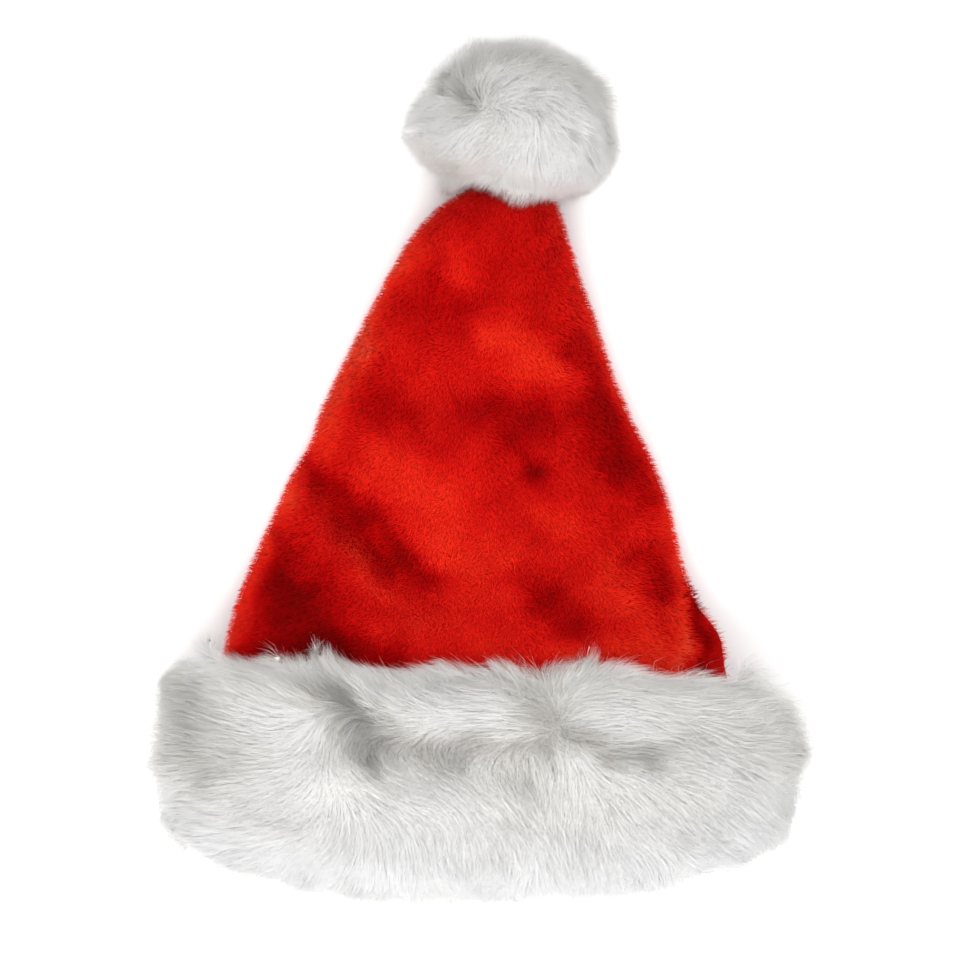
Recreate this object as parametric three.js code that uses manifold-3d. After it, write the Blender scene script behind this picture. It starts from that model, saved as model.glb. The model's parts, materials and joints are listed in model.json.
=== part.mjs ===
// A plush santa hat lying on its back: a hollow red crown, a deep white fur cuff round its mouth and a
// stuffed white fur pompom on its tip. Millimetres, +Z up, +Y from the mouth towards the pompom.
// The origin is the middle of the cuff's flat underside, on the surface that the hat lies on.

import * as THREE from "three";
import { mergeVertices } from "three/addons/utils/BufferGeometryUtils.js";
import Module from "manifold-3d";

const wasm = await Module();
wasm.setup();

// Driving sizes of the crown, laid flat
const CROWN_LENGTH = 352; // mouth to tip
const MOUTH_WIDTH = 286; // fold to fold at the mouth
const CROWN_RISE = 44; // upper skin above the lower skin where the air inside lifts it most
const PLUSH = 4; // backing and short pile together
const FOLD_RISE = 8; // height of a side fold's outermost line above the lower skin
const PLEAT_RISE = 13; // tucked layer that shows beside the pleat on the right
const PLEAT_LIP = 1; // how far the front layer's edge stands over the tucked layer

// Driving sizes of the cuff
const CUFF_DEPTH = 113; // rim to upper lip
const PILE_ABOVE = 30; // fur over the crown
const PILE_BESIDE = 22; // fur round the two side folds
const PILE_BELOW = 20; // fur under the crown, pressed flat by what it lies on
const RIM_BOW = 36; // the rim's middle reaches this much further out than its two ends
const MOUTH_SETBACK = 8; // the crown's edge lies this far inside the rim

// Driving sizes of the pompom
const POMPOM_WIDTH = 100;
const POMPOM_LENGTH = 81;
const POMPOM_HEIGHT = 88;
const POMPOM_SINK = 5; // how much of the ball's height its own weight presses flat
const TIP_DEPTH = 16; // how far the crown's tip goes into the pompom
const TIP_ACROSS = 17; // the tip's distance from the hat's middle line, towards +X

// Locks of fur
const CUFF_LOCK = { length: 62, width: 30, height: 6 };
const LIP_LOCK = { length: 31, width: 15, height: 3.5 };
const POMPOM_LOCK = { length: 50, width: 29, height: 6 };
const POMPOM_LOCKS = 44;

const GAP = 0.4; // clearance between two pieces
const TIP_GAP = 1; // clearance round the tip inside the pompom

// The crown's sections. along is a share of CROWN_LENGTH from the mouth, left and right are the two side
// folds as shares of MOUTH_WIDTH, rise is a share of CROWN_RISE, lift is how far the lower skin is
// held off the surface as a share of PILE_BELOW, and pleat is the width of the tucked layer on the right
// as a share of MOUTH_WIDTH.
const CROWN_SECTIONS = [
  { along: 0.0, left: -0.5, right: 0.5, rise: 0.84, lift: 1.0, pleat: 0.02 },
  { along: 0.15, left: -0.487, right: 0.482, rise: 0.86, lift: 1.0, pleat: 0.02 },
  { along: 0.26, left: -0.462, right: 0.45, rise: 0.88, lift: 1.0, pleat: 0.05 },
  { along: 0.331, left: -0.444, right: 0.424, rise: 0.95, lift: 0.84, pleat: 0.064 },
  { along: 0.395, left: -0.425, right: 0.388, rise: 1.0, lift: 0.42, pleat: 0.03 },
  { along: 0.459, left: -0.393, right: 0.357, rise: 1.0, lift: 0.1, pleat: 0.02 },
  { along: 0.523, left: -0.357, right: 0.343, rise: 0.98, lift: 0.0, pleat: 0.02 },
  { along: 0.565, left: -0.334, right: 0.327, rise: 0.96, lift: 0.0, pleat: 0.02 },
  { along: 0.587, left: -0.327, right: 0.314, rise: 0.97, lift: 0.0, pleat: 0.02 },
  { along: 0.608, left: -0.306, right: 0.302, rise: 0.96, lift: 0.0, pleat: 0.02 },
  { along: 0.651, left: -0.288, right: 0.275, rise: 0.95, lift: 0.0, pleat: 0.02 },
  { along: 0.714, left: -0.248, right: 0.242, rise: 0.93, lift: 0.0, pleat: 0.02 },
  { along: 0.778, left: -0.21, right: 0.217, rise: 0.91, lift: 0.0, pleat: 0.02 },
  { along: 0.842, left: -0.169, right: 0.188, rise: 0.88, lift: 0.12, pleat: 0.02 },
  { along: 0.906, left: -0.127, right: 0.163, rise: 0.82, lift: 0.42, pleat: 0.018 },
  { along: 0.949, left: -0.083, right: 0.147, rise: 0.72, lift: 0.7, pleat: 0.014 },
  { along: 0.978, left: -0.034, right: 0.128, rise: 0.58, lift: 0.9, pleat: 0.01 },
  { along: 0.993, left: 0.012, right: 0.105, rise: 0.42, lift: 1.1, pleat: 0.006 },
];

// Folds and dents of the crown's upper skin. across is a share of MOUTH_WIDTH from the middle line, along
// a share of CROWN_LENGTH, width a share of MOUTH_WIDTH and depth a share of CROWN_RISE. A negative
// depth is a ridge.
const CROWN_FOLDS = [
  { across: -0.29, along: 0.592, toAcross: -0.2, toAlong: 0.48, width: 0.046, depth: 0.2 },
  { across: -0.2, along: 0.48, toAcross: -0.1, toAlong: 0.39, width: 0.055, depth: 0.17 },
  { across: -0.34, along: 0.55, toAcross: -0.18, toAlong: 0.42, width: 0.05, depth: -0.11 },
  { across: 0.045, along: 0.625, toAcross: 0.114, toAlong: 0.51, width: 0.04, depth: 0.13 },
  { across: 0.08, along: 0.622, toAcross: 0.147, toAlong: 0.525, width: 0.034, depth: -0.06 },
  { across: 0.206, along: 0.615, toAcross: 0.235, toAlong: 0.48, width: 0.05, depth: 0.07 },
  { across: 0.09, along: 0.366, toAcross: 0.05, toAlong: 0.38, width: 0.06, depth: 0.06 },
  { across: 0.285, along: 0.44, toAcross: 0.288, toAlong: 0.41, width: 0.04, depth: 0.07 },
  { across: -0.34, along: 0.366, toAcross: -0.2, toAlong: 0.33, width: 0.07, depth: 0.1 },
  { across: -0.07, along: 0.82, toAcross: -0.14, toAlong: 0.64, width: 0.05, depth: 0.08 },
  { across: 0.017, along: 0.764, toAcross: 0.096, toAlong: 0.719, width: 0.045, depth: -0.05 },
  { across: -0.09, along: 0.69, toAcross: 0.12, toAlong: 0.675, width: 0.035, depth: 0.05 },
];

// The cuff's upper lip leaves a straight line: across is a share of the cuff's span from the middle,
// lift a share of CUFF_DEPTH.
const LIP_WAVE = [
  { across: -0.5, lift: 0.06 },
  { across: -0.4, lift: 0.07 },
  { across: -0.28, lift: 0.06 },
  { across: -0.19, lift: 0.01 },
  { across: 0.0, lift: -0.02 },
  { across: 0.1, lift: 0.0 },
  { across: 0.18, lift: 0.055 },
  { across: 0.25, lift: 0.0 },
  { across: 0.38, lift: -0.04 },
  { across: 0.5, lift: -0.09 },
];

// Creases of the cuff's fur on top. across and width are shares of the cuff's span, up is a share of
// CUFF_DEPTH from the rim and depth a share of PILE_ABOVE.
const CUFF_CREASES = [
  { across: -0.26, up: 1.0, toAcross: -0.18, toUp: 0.66, width: 0.04, depth: 0.34 },
  { across: -0.18, up: 0.66, toAcross: 0.08, toUp: 0.66, width: 0.036, depth: 0.32 },
  { across: 0.105, up: 0.88, toAcross: 0.18, toUp: 0.66, width: 0.03, depth: 0.24 },
  { across: 0.18, up: 0.65, toAcross: 0.275, toUp: 0.63, width: 0.032, depth: 0.28 },
  { across: 0.275, up: 0.63, toAcross: 0.4, toUp: 0.84, width: 0.034, depth: 0.2 },
  { across: 0.1, up: 0.8, toAcross: 0.075, toUp: 0.3, width: 0.024, depth: 0.2 },
];

// Creases of the pompom, where the gathered fur meets. They are drawn from above: across and toAcross are
// shares of POMPOM_WIDTH from its middle, along and toAlong shares of POMPOM_LENGTH, width a share of
// POMPOM_WIDTH and depth a share of its radius.
const POMPOM_CREASES = [
  { across: -0.2, along: 0.12, toAcross: -0.02, toAlong: 0.36, width: 0.07, depth: 0.16 },
  { across: -0.48, along: 0.08, toAcross: -0.2, toAlong: 0.1, width: 0.08, depth: 0.26 },
  { across: -0.2, along: 0.1, toAcross: 0.02, toAlong: -0.04, width: 0.07, depth: 0.14 },
  { across: -0.34, along: -0.32, toAcross: -0.16, toAlong: -0.3, width: 0.07, depth: 0.12 },
];

// Shapes of the curves, without a size
const DOME_POWER = 2.4; // how squarely the upper skin's arch turns down
const SIDE_POWER = 3; // how late the inner skin's columns leave those above them towards the side folds
const BOW_POWER = 2.6; // how late the rim draws back towards its ends
const PILE_POWER = 0.72; // how bluntly the cuff's fur rounds off at rim and lip
const BALL_POWER = 2.3; // how squarely the pompom is rounded
const UNDER_FULLNESS = 1.2; // fur under the crown before it is pressed flat, as a share of PILE_BELOW
const PLEAT_SHOWS = { from: 0.021, full: 0.045 }; // tucked layer's width as a share of MOUTH_WIDTH
const CREASES_FADE = { from: -0.2, full: 0.3 }; // the pompom's creases fade out round its sides
const FOLDED = { from: 0.3, until: 0.68 }; // stretch with deep folds, as shares of CROWN_LENGTH
const FOLD_HOLDS = { from: 0.2, full: 0.6 }; // folds fade out towards the side folds, as a share of the arch

// How finely each skin is cut
const PLEAT_COLUMNS = 4;
const UPPER_COLUMNS = 26;
const LOWER_COLUMNS = 8;
const COLUMNS = PLEAT_COLUMNS + UPPER_COLUMNS + LOWER_COLUMNS;
const HIDDEN_ROWS = 4;
const SHOWN_ROWS = 24;
const INNER_ROW_EVERY = 3; // the inner skin has every third of the rows, and all of them where the folds are
const CUFF_INNER_ROWS = 2;
const CUFF_OUTER_ROWS = 11;
const POMPOM_DETAIL = 5;

const lerp = THREE.MathUtils.lerp;
const clamp = THREE.MathUtils.clamp;
const smooth = (value, low, high) => THREE.MathUtils.smoothstep(value, low, high);

// The value of one column of a table at a place, by a smooth curve through its rows
function track(rows, key, column, place) {
  const last = rows.length - 1;
  const at = clamp(place, rows[0][key], rows[last][key]);
  let i = 0;
  while (i < last - 1 && rows[i + 1][key] <= at) i += 1;
  const slope = (k) => {
    const before = rows[Math.max(k - 1, 0)];
    const after = rows[Math.min(k + 1, last)];
    return (after[column] - before[column]) / (after[key] - before[key]);
  };
  const step = rows[i + 1][key] - rows[i][key];
  const t = (at - rows[i][key]) / step;
  const t2 = t * t;
  const t3 = t2 * t;
  return (
    rows[i][column] * (2 * t3 - 3 * t2 + 1) +
    slope(i) * step * (t3 - 2 * t2 + t) +
    rows[i + 1][column] * (3 * t2 - 2 * t3) +
    slope(i + 1) * step * (t3 - t2)
  );
}

// How much of a fold is felt at a point: 1 on its line, falling to nothing at its width
function nearLine(point, from, to, width) {
  const line = to.clone().sub(from);
  const share = clamp(point.clone().sub(from).dot(line) / line.lengthSq(), 0, 1);
  const away = point.distanceTo(from.clone().addScaledVector(line, share)) / width;
  return away < 1 ? (1 - away * away) ** 2 : 0;
}

const MOUTH_Y = MOUTH_SETBACK - CUFF_DEPTH / 2;
const TIP_Y = MOUTH_Y + CROWN_LENGTH;
const CUFF_SPAN = MOUTH_WIDTH + 2 * PILE_BESIDE;
const LIP_ALONG = (CUFF_DEPTH - MOUTH_SETBACK) / CROWN_LENGTH;

// The rim's ends draw back from its middle by this much
const bow = (x) => RIM_BOW * Math.abs(x / (CUFF_SPAN / 2)) ** BOW_POWER;

// One section's sizes in millimetres
function sectionAt(along) {
  const size = (column) => track(CROWN_SECTIONS, "along", column, along);
  const lift = Math.max(0, size("lift"));
  return {
    left: size("left") * MOUTH_WIDTH,
    right: size("right") * MOUTH_WIDTH,
    rise: size("rise") * CROWN_RISE,
    floor: lift * (PILE_BELOW + GAP),
    pleat: size("pleat") * MOUTH_WIDTH,
  };
}

// Height of a domed upper skin over its side folds, as a share
const dome = (across) => Math.sqrt(Math.max(0, 1 - Math.abs(across) ** DOME_POWER));

// Height of the lower skin over its flat part, as a share: flat, then rounded up to the side fold
const FLAT_SHARE = 0.82;
function turnUp(across) {
  const past = clamp((Math.abs(across) - FLAT_SHARE) / (1 - FLAT_SHARE), 0, 1);
  return 1 - Math.sqrt(1 - past * past);
}

// How deep the folds press the upper skin at a point seen from above
function foldDepth(x, along) {
  const point = new THREE.Vector2(x, along * CROWN_LENGTH);
  return CROWN_FOLDS.reduce((depth, fold) => {
    const from = new THREE.Vector2(fold.across * MOUTH_WIDTH, fold.along * CROWN_LENGTH);
    const to = new THREE.Vector2(fold.toAcross * MOUTH_WIDTH, fold.toAlong * CROWN_LENGTH);
    const near = nearLine(point, from, to, fold.width * MOUTH_WIDTH);
    return depth + near * fold.depth * CROWN_RISE;
  }, 0);
}

// A point of the crown's skin. round counts columns from the right side fold over the top to the left one
// and back underneath. inset draws it in from the outer skin, and out where it is negative. A plain skin
// has no pleat and no folds. The folds press a column of the inner skin as deep as the same column outside.
function crownPoint(along, round, inset, plain) {
  const column = THREE.MathUtils.euclideanModulo(round, COLUMNS);
  const s = sectionAt(along);
  const left = s.left + inset;
  const right = s.right - inset * (plain || inset <= 0 ? 1 : 1 + s.pleat / PLUSH);
  const middle = (left + right) / 2;
  const half = (right - left) / 2;
  const edge = s.floor + Math.min(FOLD_RISE, s.rise / 2);
  const top = s.floor + s.rise - inset;
  const bottom = s.floor + inset;
  const pleated = plain || inset > 0 ? 0 : smooth(s.pleat / MOUTH_WIDTH, PLEAT_SHOWS.from, PLEAT_SHOWS.full);
  const pleatEdge = right - s.pleat;
  const frontMiddle = (left + pleatEdge) / 2;
  const frontHalf = (pleatEdge - left) / 2;
  const upperPlain = (x) => lerp(edge, top, dome((x - middle) / half));
  const pleatedTo = (x, height) => Math.min(upperPlain(x), lerp(upperPlain(x), height, pleated));
  let x;
  let z;
  if (column < PLEAT_COLUMNS) {
    const share = column / PLEAT_COLUMNS;
    x = right - s.pleat * (1 - Math.cos((share * Math.PI) / 2));
    const tucked = lerp(edge, s.floor + PLEAT_RISE, Math.sqrt(1 - (1 - share) ** 2));
    z = pleatedTo(x, tucked);
  } else if (column <= PLEAT_COLUMNS + UPPER_COLUMNS) {
    const share = (column - PLEAT_COLUMNS) / UPPER_COLUMNS;
    const turn = Math.cos(share * Math.PI);
    const over = lerp(s.left, s.right - s.pleat, (1 + turn) / 2);
    x = lerp(over, frontMiddle + frontHalf * turn, plain ? 1 : Math.abs(turn) ** SIDE_POWER);
    const curl = x > frontMiddle ? s.floor + PLEAT_RISE + PLEAT_LIP : edge;
    const front = lerp(curl, top, dome((x - frontMiddle) / frontHalf));
    z = pleatedTo(x, front);
    if (!plain) {
      const across = (2 * over - s.left - s.right) / (s.right - s.left);
      const hold = smooth(dome(across), FOLD_HOLDS.from, FOLD_HOLDS.full);
      z = Math.max(z - foldDepth(over, along) * hold, Math.min(z, edge + PLUSH - inset));
    }
  } else {
    const share = (column - PLEAT_COLUMNS - UPPER_COLUMNS) / LOWER_COLUMNS;
    const across = -Math.cos(share * Math.PI);
    x = middle + half * across;
    z = lerp(bottom, edge, turnUp(across));
  }
  const drawn = bow(x) * Math.max(0, 1 - Math.max(0, along) / LIP_ALONG) ** 2;
  return new THREE.Vector3(x, MOUTH_Y + along * CROWN_LENGTH + drawn, z);
}

const LAST_SECTION = CROWN_SECTIONS[CROWN_SECTIONS.length - 1].along;
const HOLLOW_END = 0.95; // the hollow inside ends at this share of the length
const TIP_WALLS = 2.5; // the solid tip past the hollow, as a multiple of PLUSH
const TIP_ROOM_FROM = 0.8; // the pompom gives the tip room from this share of the length
const HOME_ROOM = { outside: [-0.3, -0.1], until: 1.5 }; // the cuff's room for the crown, see crownRoom
const crownLoop = (along, inset, plain) =>
  Array.from({ length: COLUMNS }, (_, column) => crownPoint(along, column, inset, plain));

// Where the crown's tip ends, drawn in or out like the skin
function tipPoint(inset) {
  const end = sectionAt(1);
  const height = end.floor + end.rise / 2;
  return new THREE.Vector3(TIP_ACROSS, TIP_Y - inset, height);
}

// A closed surface through loops of equally many points. Poles close its two ends; without them the last
// loop is joined to the first. The first rows of faces, as many as turned says, are cut in two along their
// other diagonal.
function skin(loops, poles, turned = 0) {
  const count = loops[0].length;
  const points = loops.flat();
  const faces = [];
  const joined = poles ? loops.length - 1 : loops.length;
  for (let i = 0; i < joined; i += 1) {
    const here = i * count;
    const next = ((i + 1) % loops.length) * count;
    for (let j = 0; j < count; j += 1) {
      const k = (j + 1) % count;
      if (i < turned) faces.push(here + j, next + j, here + k, next + j, next + k, here + k);
      else faces.push(here + j, next + j, next + k, here + j, next + k, here + k);
    }
  }
  if (poles) {
    const [first, last] = [points.length, points.length + 1];
    const end = (loops.length - 1) * count;
    points.push(...poles);
    for (let j = 0; j < count; j += 1) {
      const k = (j + 1) % count;
      faces.push(first, j, k, last, end + k, end + j);
    }
  }
  const geometry = new THREE.BufferGeometry().setFromPoints(points);
  geometry.setIndex(faces);
  return geometry;
}

// A three.js geometry as a solid that can be joined and cut, with its faces turned outwards
function solidOf(geometry) {
  const bare = geometry.clone();
  bare.deleteAttribute("normal");
  bare.deleteAttribute("uv");
  const merged = mergeVertices(bare, 1e-3);
  const build = (triVerts) =>
    new wasm.Manifold(
      new wasm.Mesh({ numProp: 3, vertProperties: merged.attributes.position.array, triVerts }),
    );
  const triVerts = new Uint32Array(merged.index.array);
  const made = build(triVerts);
  return made.volume() > 0 ? made : build(triVerts.map((_, i) => triVerts[i - (i % 3) + 2 - (i % 3)]));
}

// The largest body of a solid, without the pockets that locks close over and the slivers that a cut leaves
const wholeOf = (solid) => solid.decompose().sort((a, b) => b.volume() - a.volume())[0];

function geometryOf(solid) {
  const { vertProperties, triVerts } = solid.getMesh();
  const geometry = new THREE.BufferGeometry();
  geometry.setAttribute("position", new THREE.Float32BufferAttribute(vertProperties, 3));
  geometry.setIndex(Array.from(triVerts));
  geometry.computeVertexNormals();
  return geometry;
}

// Evenly spaced places, both ends with them
const evenly = (count, from, to) => Array.from({ length: count + 1 }, (_, i) => lerp(from, to, i / count));

// Places along the crown, few inside the cuff and close together past it, where the folds are
const SHOWN_FROM = 0.75 * LIP_ALONG;
const CROWN_ROWS = [
  ...evenly(HIDDEN_ROWS, 0, SHOWN_FROM),
  ...evenly(SHOWN_ROWS, SHOWN_FROM, LAST_SECTION).slice(1),
];

const isFolded = (along) => along > FOLDED.from && along < FOLDED.until;
const INNER_ROWS = [
  ...CROWN_ROWS.filter((along, row) => row % INNER_ROW_EVERY === 0 || isFolded(along)),
  HOLLOW_END,
].filter((along) => along <= HOLLOW_END);

function crownSolid() {
  const outer = CROWN_ROWS.map((along) => crownLoop(along, 0, false));
  const inner = INNER_ROWS.map((along) => crownLoop(along, PLUSH, false));
  const loops = [...inner.reverse(), ...outer];
  return solidOf(skin(loops, [tipPoint(TIP_WALLS * PLUSH), tipPoint(0)], inner.length - 1));
}

// The room that the crown's tip takes inside the pompom
function tipRoom() {
  const rows = CROWN_ROWS.filter((along) => along > TIP_ROOM_FROM);
  const loops = rows.map((along) => crownLoop(along, -TIP_GAP, true));
  const start = loops[0].reduce((sum, p) => sum.add(p), new THREE.Vector3());
  return solidOf(skin(loops, [start.divideScalar(COLUMNS), tipPoint(-2 * TIP_GAP)]));
}

// The outward direction of the plain skin at a column, across the hat
function skinNormal(along, column) {
  const after = crownPoint(along, column + 0.5, 0, true);
  const before = crownPoint(along, column - 0.5, 0, true);
  return new THREE.Vector3(after.z - before.z, 0, before.x - after.x).normalize();
}

// How deep the creases press the cuff's fur at a point seen from above, in millimetres
function creaseDepth(x, y) {
  const point = new THREE.Vector2(x, y);
  return CUFF_CREASES.reduce((depth, crease) => {
    const from = new THREE.Vector2(crease.across * CUFF_SPAN, (crease.up - 0.5) * CUFF_DEPTH);
    const to = new THREE.Vector2(crease.toAcross * CUFF_SPAN, (crease.toUp - 0.5) * CUFF_DEPTH);
    const near = nearLine(point, from, to, crease.width * CUFF_SPAN);
    return Math.max(depth, near * crease.depth * PILE_ABOVE);
  }, 0);
}

// How thick the fur is at a column, by the way that its side of the cuff faces
function pileToward(normal) {
  return normal.z > 0
    ? lerp(PILE_BESIDE, PILE_ABOVE, normal.z ** 2)
    : lerp(PILE_BESIDE, UNDER_FULLNESS * PILE_BELOW, normal.z ** 2);
}

// A point of the cuff's fur. turn goes round the band's own section, from 0 at the lip to half a turn at
// the rim, and column goes round the head like the crown's columns.
function cuffPoint(turn, column) {
  const middle = LIP_ALONG / 2;
  const seat = crownPoint(middle, column, 0, true);
  const normal = skinNormal(middle, column);
  const across = seat.x + normal.x * PILE_BESIDE;
  const lip = CUFF_DEPTH * (0.5 + track(LIP_WAVE, "across", "lift", across / CUFF_SPAN));
  const rim = bow(across) - CUFF_DEPTH / 2;
  const blunt = (value) => Math.sign(value) * Math.abs(value) ** PILE_POWER;
  const y = (lip + rim) / 2 + ((lip - rim) / 2) * blunt(Math.cos(turn));
  const thick = pileToward(normal) * blunt(Math.sin(turn));
  const x = seat.x + normal.x * (GAP + thick);
  const pressed = normal.z > 0 ? creaseDepth(x, y) * normal.z * Math.sin(turn) : 0;
  const under = crownPoint((y - MOUTH_Y) / CROWN_LENGTH, column, 0, true);
  const z = lerp(under.z, seat.z, 0.5) + normal.z * (GAP + thick - pressed);
  return new THREE.Vector3(x, y, Math.max(0, z));
}

const cuffLoop = (turn) => Array.from({ length: COLUMNS }, (_, column) => cuffPoint(turn, column));

// Stations of a lock: reach is a share of its length from the root, wide of its width and proud of its
// height over the body that it lies on.
const LOCK_STATIONS = [
  { reach: 0.15, wide: 0.65, proud: 0.4 },
  { reach: 0.48, wide: 1.0, proud: 1.0 },
  { reach: 0.8, wide: 0.58, proud: 0.85 },
];
const LOCK_SUNK = 0.4; // share of its height that a lock's sides lie under the body's surface
const LOCK_CROWN = 0.42; // share of its width that a lock's top takes
const LOCK_TIP = 0.1; // share of its height that a lock's tip stands over the surface
const LOCK_STEP = 0.1; // share of its length over which a lock's direction is taken
const LOCK_VARIES = 0.2; // share by which locks differ in length

// A tapering strip of fur along a path over a body. place gives the body's point at a share of the path,
// and facing the outward direction there.
function lock(place, facing, size) {
  const loops = LOCK_STATIONS.map(({ reach, wide, proud }) => {
    const [centre, normal] = [place(reach), facing(reach)];
    const forward = place(reach + LOCK_STEP).sub(place(reach - LOCK_STEP));
    const side = new THREE.Vector3().crossVectors(normal, forward).setLength((wide * size.width) / 2);
    const corner = (across, height) =>
      centre.clone().addScaledVector(side, across).addScaledVector(normal, height * size.height);
    const [low, high] = [-LOCK_SUNK, proud];
    return [corner(1, low), corner(LOCK_CROWN, high), corner(-LOCK_CROWN, high), corner(-1, low)];
  });
  const root = place(0).addScaledVector(facing(0), -LOCK_SUNK * size.height);
  const tip = place(1).addScaledVector(facing(1), LOCK_TIP * size.height);
  return solidOf(skin(loops, [root, tip]));
}

// Repeatable numbers between -1 and 1
function waverer(seed) {
  let state = seed;
  return () => {
    state = (state * 16807) % 2147483647;
    return (2 * state) / 2147483647 - 1;
  };
}

// Rows of locks on the cuff: turn is a share of half a turn round the band's section, lean how far the
// locks turn from running round the hat towards the lip, in radians, and count how many a row has.
const CUFF_LOCK_ROWS = [
  { turn: 0.3, lean: 0.25, count: 10 },
  { turn: 0.5, lean: -0.1, count: 9 },
  { turn: 0.66, lean: -0.3, count: 10 },
  { turn: 0.78, lean: -0.5, count: 9 },
];
const CUFF_LOCKS_SPAN = { across: 0.97, varies: 0.15, leans: 0.3 }; // how far the rows reach, and waver
const LIP_LOCKS = 14;
const LIP_TURN = 0.16;
const LIP_LOCKS_SPAN = { across: 0.95, varies: 0.3 };
const LIP_LOCK_LEAN = { angle: 0.75, varies: 0.35, rise: 0.06 }; // radians, and its climb as a share
const PARTING = 0.12; // the fur is combed leftwards left of this share of the cuff's span

// The column on the upper skin at a share of the mouth's half width
const columnAcross = (across) => PLEAT_COLUMNS + (UPPER_COLUMNS * Math.acos(across)) / Math.PI;

// Locks turn at most one column round the side folds, and stay on top, clear of lip and rim
const PAST_FOLDS = PLEAT_COLUMNS + UPPER_COLUMNS + 1;
const LOCK_TURNS = { from: 0.25, to: Math.PI - 0.4 };
const COLUMN_STEP = 0.4; // columns and radians over which the cuff's directions are taken
const TURN_STEP = 0.06;

// The cuff's own directions at a point: round the hat, towards the lip and outwards
function cuffFrame(turn, column) {
  const [ahead, behind] = [1, -1].map((way) => cuffPoint(turn, column + way * COLUMN_STEP));
  const [lipward, rimward] = [-1, 1].map((way) => cuffPoint(turn + way * TURN_STEP, column));
  const round = ahead.sub(behind).divideScalar(2 * COLUMN_STEP);
  const up = lipward.sub(rimward).divideScalar(2 * TURN_STEP);
  return { round, up, out: new THREE.Vector3().crossVectors(up, round).normalize() };
}

// A lock that follows the cuff's surface from one point of it, turned by an angle towards the lip
function lyingLock(turn, column, angle, size) {
  const { round, up } = cuffFrame(turn, column);
  const end = clamp(column + (size.length * Math.cos(angle)) / round.length(), -1, PAST_FOLDS);
  const columns = end - column;
  const turns = (size.length * Math.sin(angle)) / up.length();
  const turnAt = (share) => clamp(turn - turns * share, LOCK_TURNS.from, LOCK_TURNS.to);
  const at = (share) => [turnAt(share), column + columns * share];
  return lock(
    (share) => cuffPoint(...at(share)),
    (share) => cuffFrame(...at(share)).out,
    size,
  );
}

// A straight lock at the lip, which reaches out over the crown
function lipLock(turn, column, angle, size) {
  const { round, up, out } = cuffFrame(turn, column);
  const forward = round.normalize().multiplyScalar(Math.cos(angle));
  forward.addScaledVector(up.normalize(), Math.sin(angle)).addScaledVector(out, LIP_LOCK_LEAN.rise);
  const root = cuffPoint(turn, column);
  return lock(
    (share) => root.clone().addScaledVector(forward, share * size.length),
    () => out,
    size,
  );
}

function cuffLocks() {
  const waver = waverer(11);
  const locks = [];
  const sized = (size) => ({ ...size, length: size.length * (1 + LOCK_VARIES * waver()) });
  const leftward = (across) => (across < 2 * PARTING ? 0 : Math.PI);
  CUFF_LOCK_ROWS.forEach(({ turn, lean, count }, row) => {
    for (let i = 0; i < count; i += 1) {
      const span = CUFF_LOCKS_SPAN;
      const share = clamp((i + 0.5 * (row % 2) + span.varies * waver()) / (count - 0.5), 0, 1);
      const across = lerp(-span.across, span.across, share);
      const combed = leftward(across);
      const angle = combed + (combed ? -1 : 1) * (lean + span.leans * waver());
      locks.push(lyingLock(turn * Math.PI, columnAcross(across), angle, sized(CUFF_LOCK)));
    }
  });
  for (let i = 0; i < LIP_LOCKS; i += 1) {
    const span = LIP_LOCKS_SPAN;
    const across = lerp(-span.across, span.across, (i + 0.5 + span.varies * waver()) / LIP_LOCKS);
    const lean = LIP_LOCK_LEAN.angle + LIP_LOCK_LEAN.varies * waver();
    const angle = Math.PI / 2 + (leftward(across) ? 1 : -1) * lean;
    locks.push(lipLock(LIP_TURN * Math.PI, columnAcross(across), angle, sized(LIP_LOCK)));
  }
  return locks;
}

// Everything above the surface that the hat lies on, as a solid to keep pieces above it
function aboveSurface() {
  const size = 3 * CROWN_LENGTH;
  return solidOf(new THREE.BoxGeometry(size, size, size).translate(0, 0, size / 2));
}

function cuffSolid() {
  const loops = [];
  for (let i = 0; i <= CUFF_OUTER_ROWS; i += 1) loops.push(cuffLoop((i / CUFF_OUTER_ROWS) * Math.PI));
  for (let i = 1; i < CUFF_INNER_ROWS; i += 1) loops.push(cuffLining(i / CUFF_INNER_ROWS));
  const body = solidOf(skin(loops, null));
  const furred = wholeOf(cuffLocks().reduce((sum, one) => sum.add(one), body));
  return wholeOf(furred.subtract(crownRoom()).intersect(aboveSurface()));
}

// The cuff's inner side, between its rim and its lip
function cuffLining(share) {
  const lip = cuffLoop(0);
  const rim = cuffLoop(Math.PI);
  return rim.map((point, column) => {
    const y = lerp(point.y, lip[column].y, share);
    const along = (y - MOUTH_Y) / CROWN_LENGTH;
    const seat = crownPoint(along, column, PLUSH / 2, true);
    return new THREE.Vector3(seat.x, y, seat.z);
  });
}

// The room that the crown takes inside the cuff. It starts outside the mouth, at the shares of
// CROWN_LENGTH in HOME_ROOM.outside, and ends past the lip, at HOME_ROOM.until times its place.
function crownRoom() {
  const inside = CROWN_ROWS.filter((along) => along < HOME_ROOM.until * LIP_ALONG);
  const loops = [...HOME_ROOM.outside, ...inside].map((along) => crownLoop(along, -GAP, true));
  const middleOf = (loop) =>
    loop.reduce((sum, p) => sum.add(p), new THREE.Vector3()).divideScalar(COLUMNS);
  return solidOf(skin(loops, [middleOf(loops[0]), middleOf(loops[loops.length - 1])]));
}

const POMPOM_CENTRE = new THREE.Vector3(
  TIP_ACROSS,
  TIP_Y - TIP_DEPTH + POMPOM_LENGTH / 2,
  POMPOM_HEIGHT / 2 - POMPOM_SINK,
);

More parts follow.
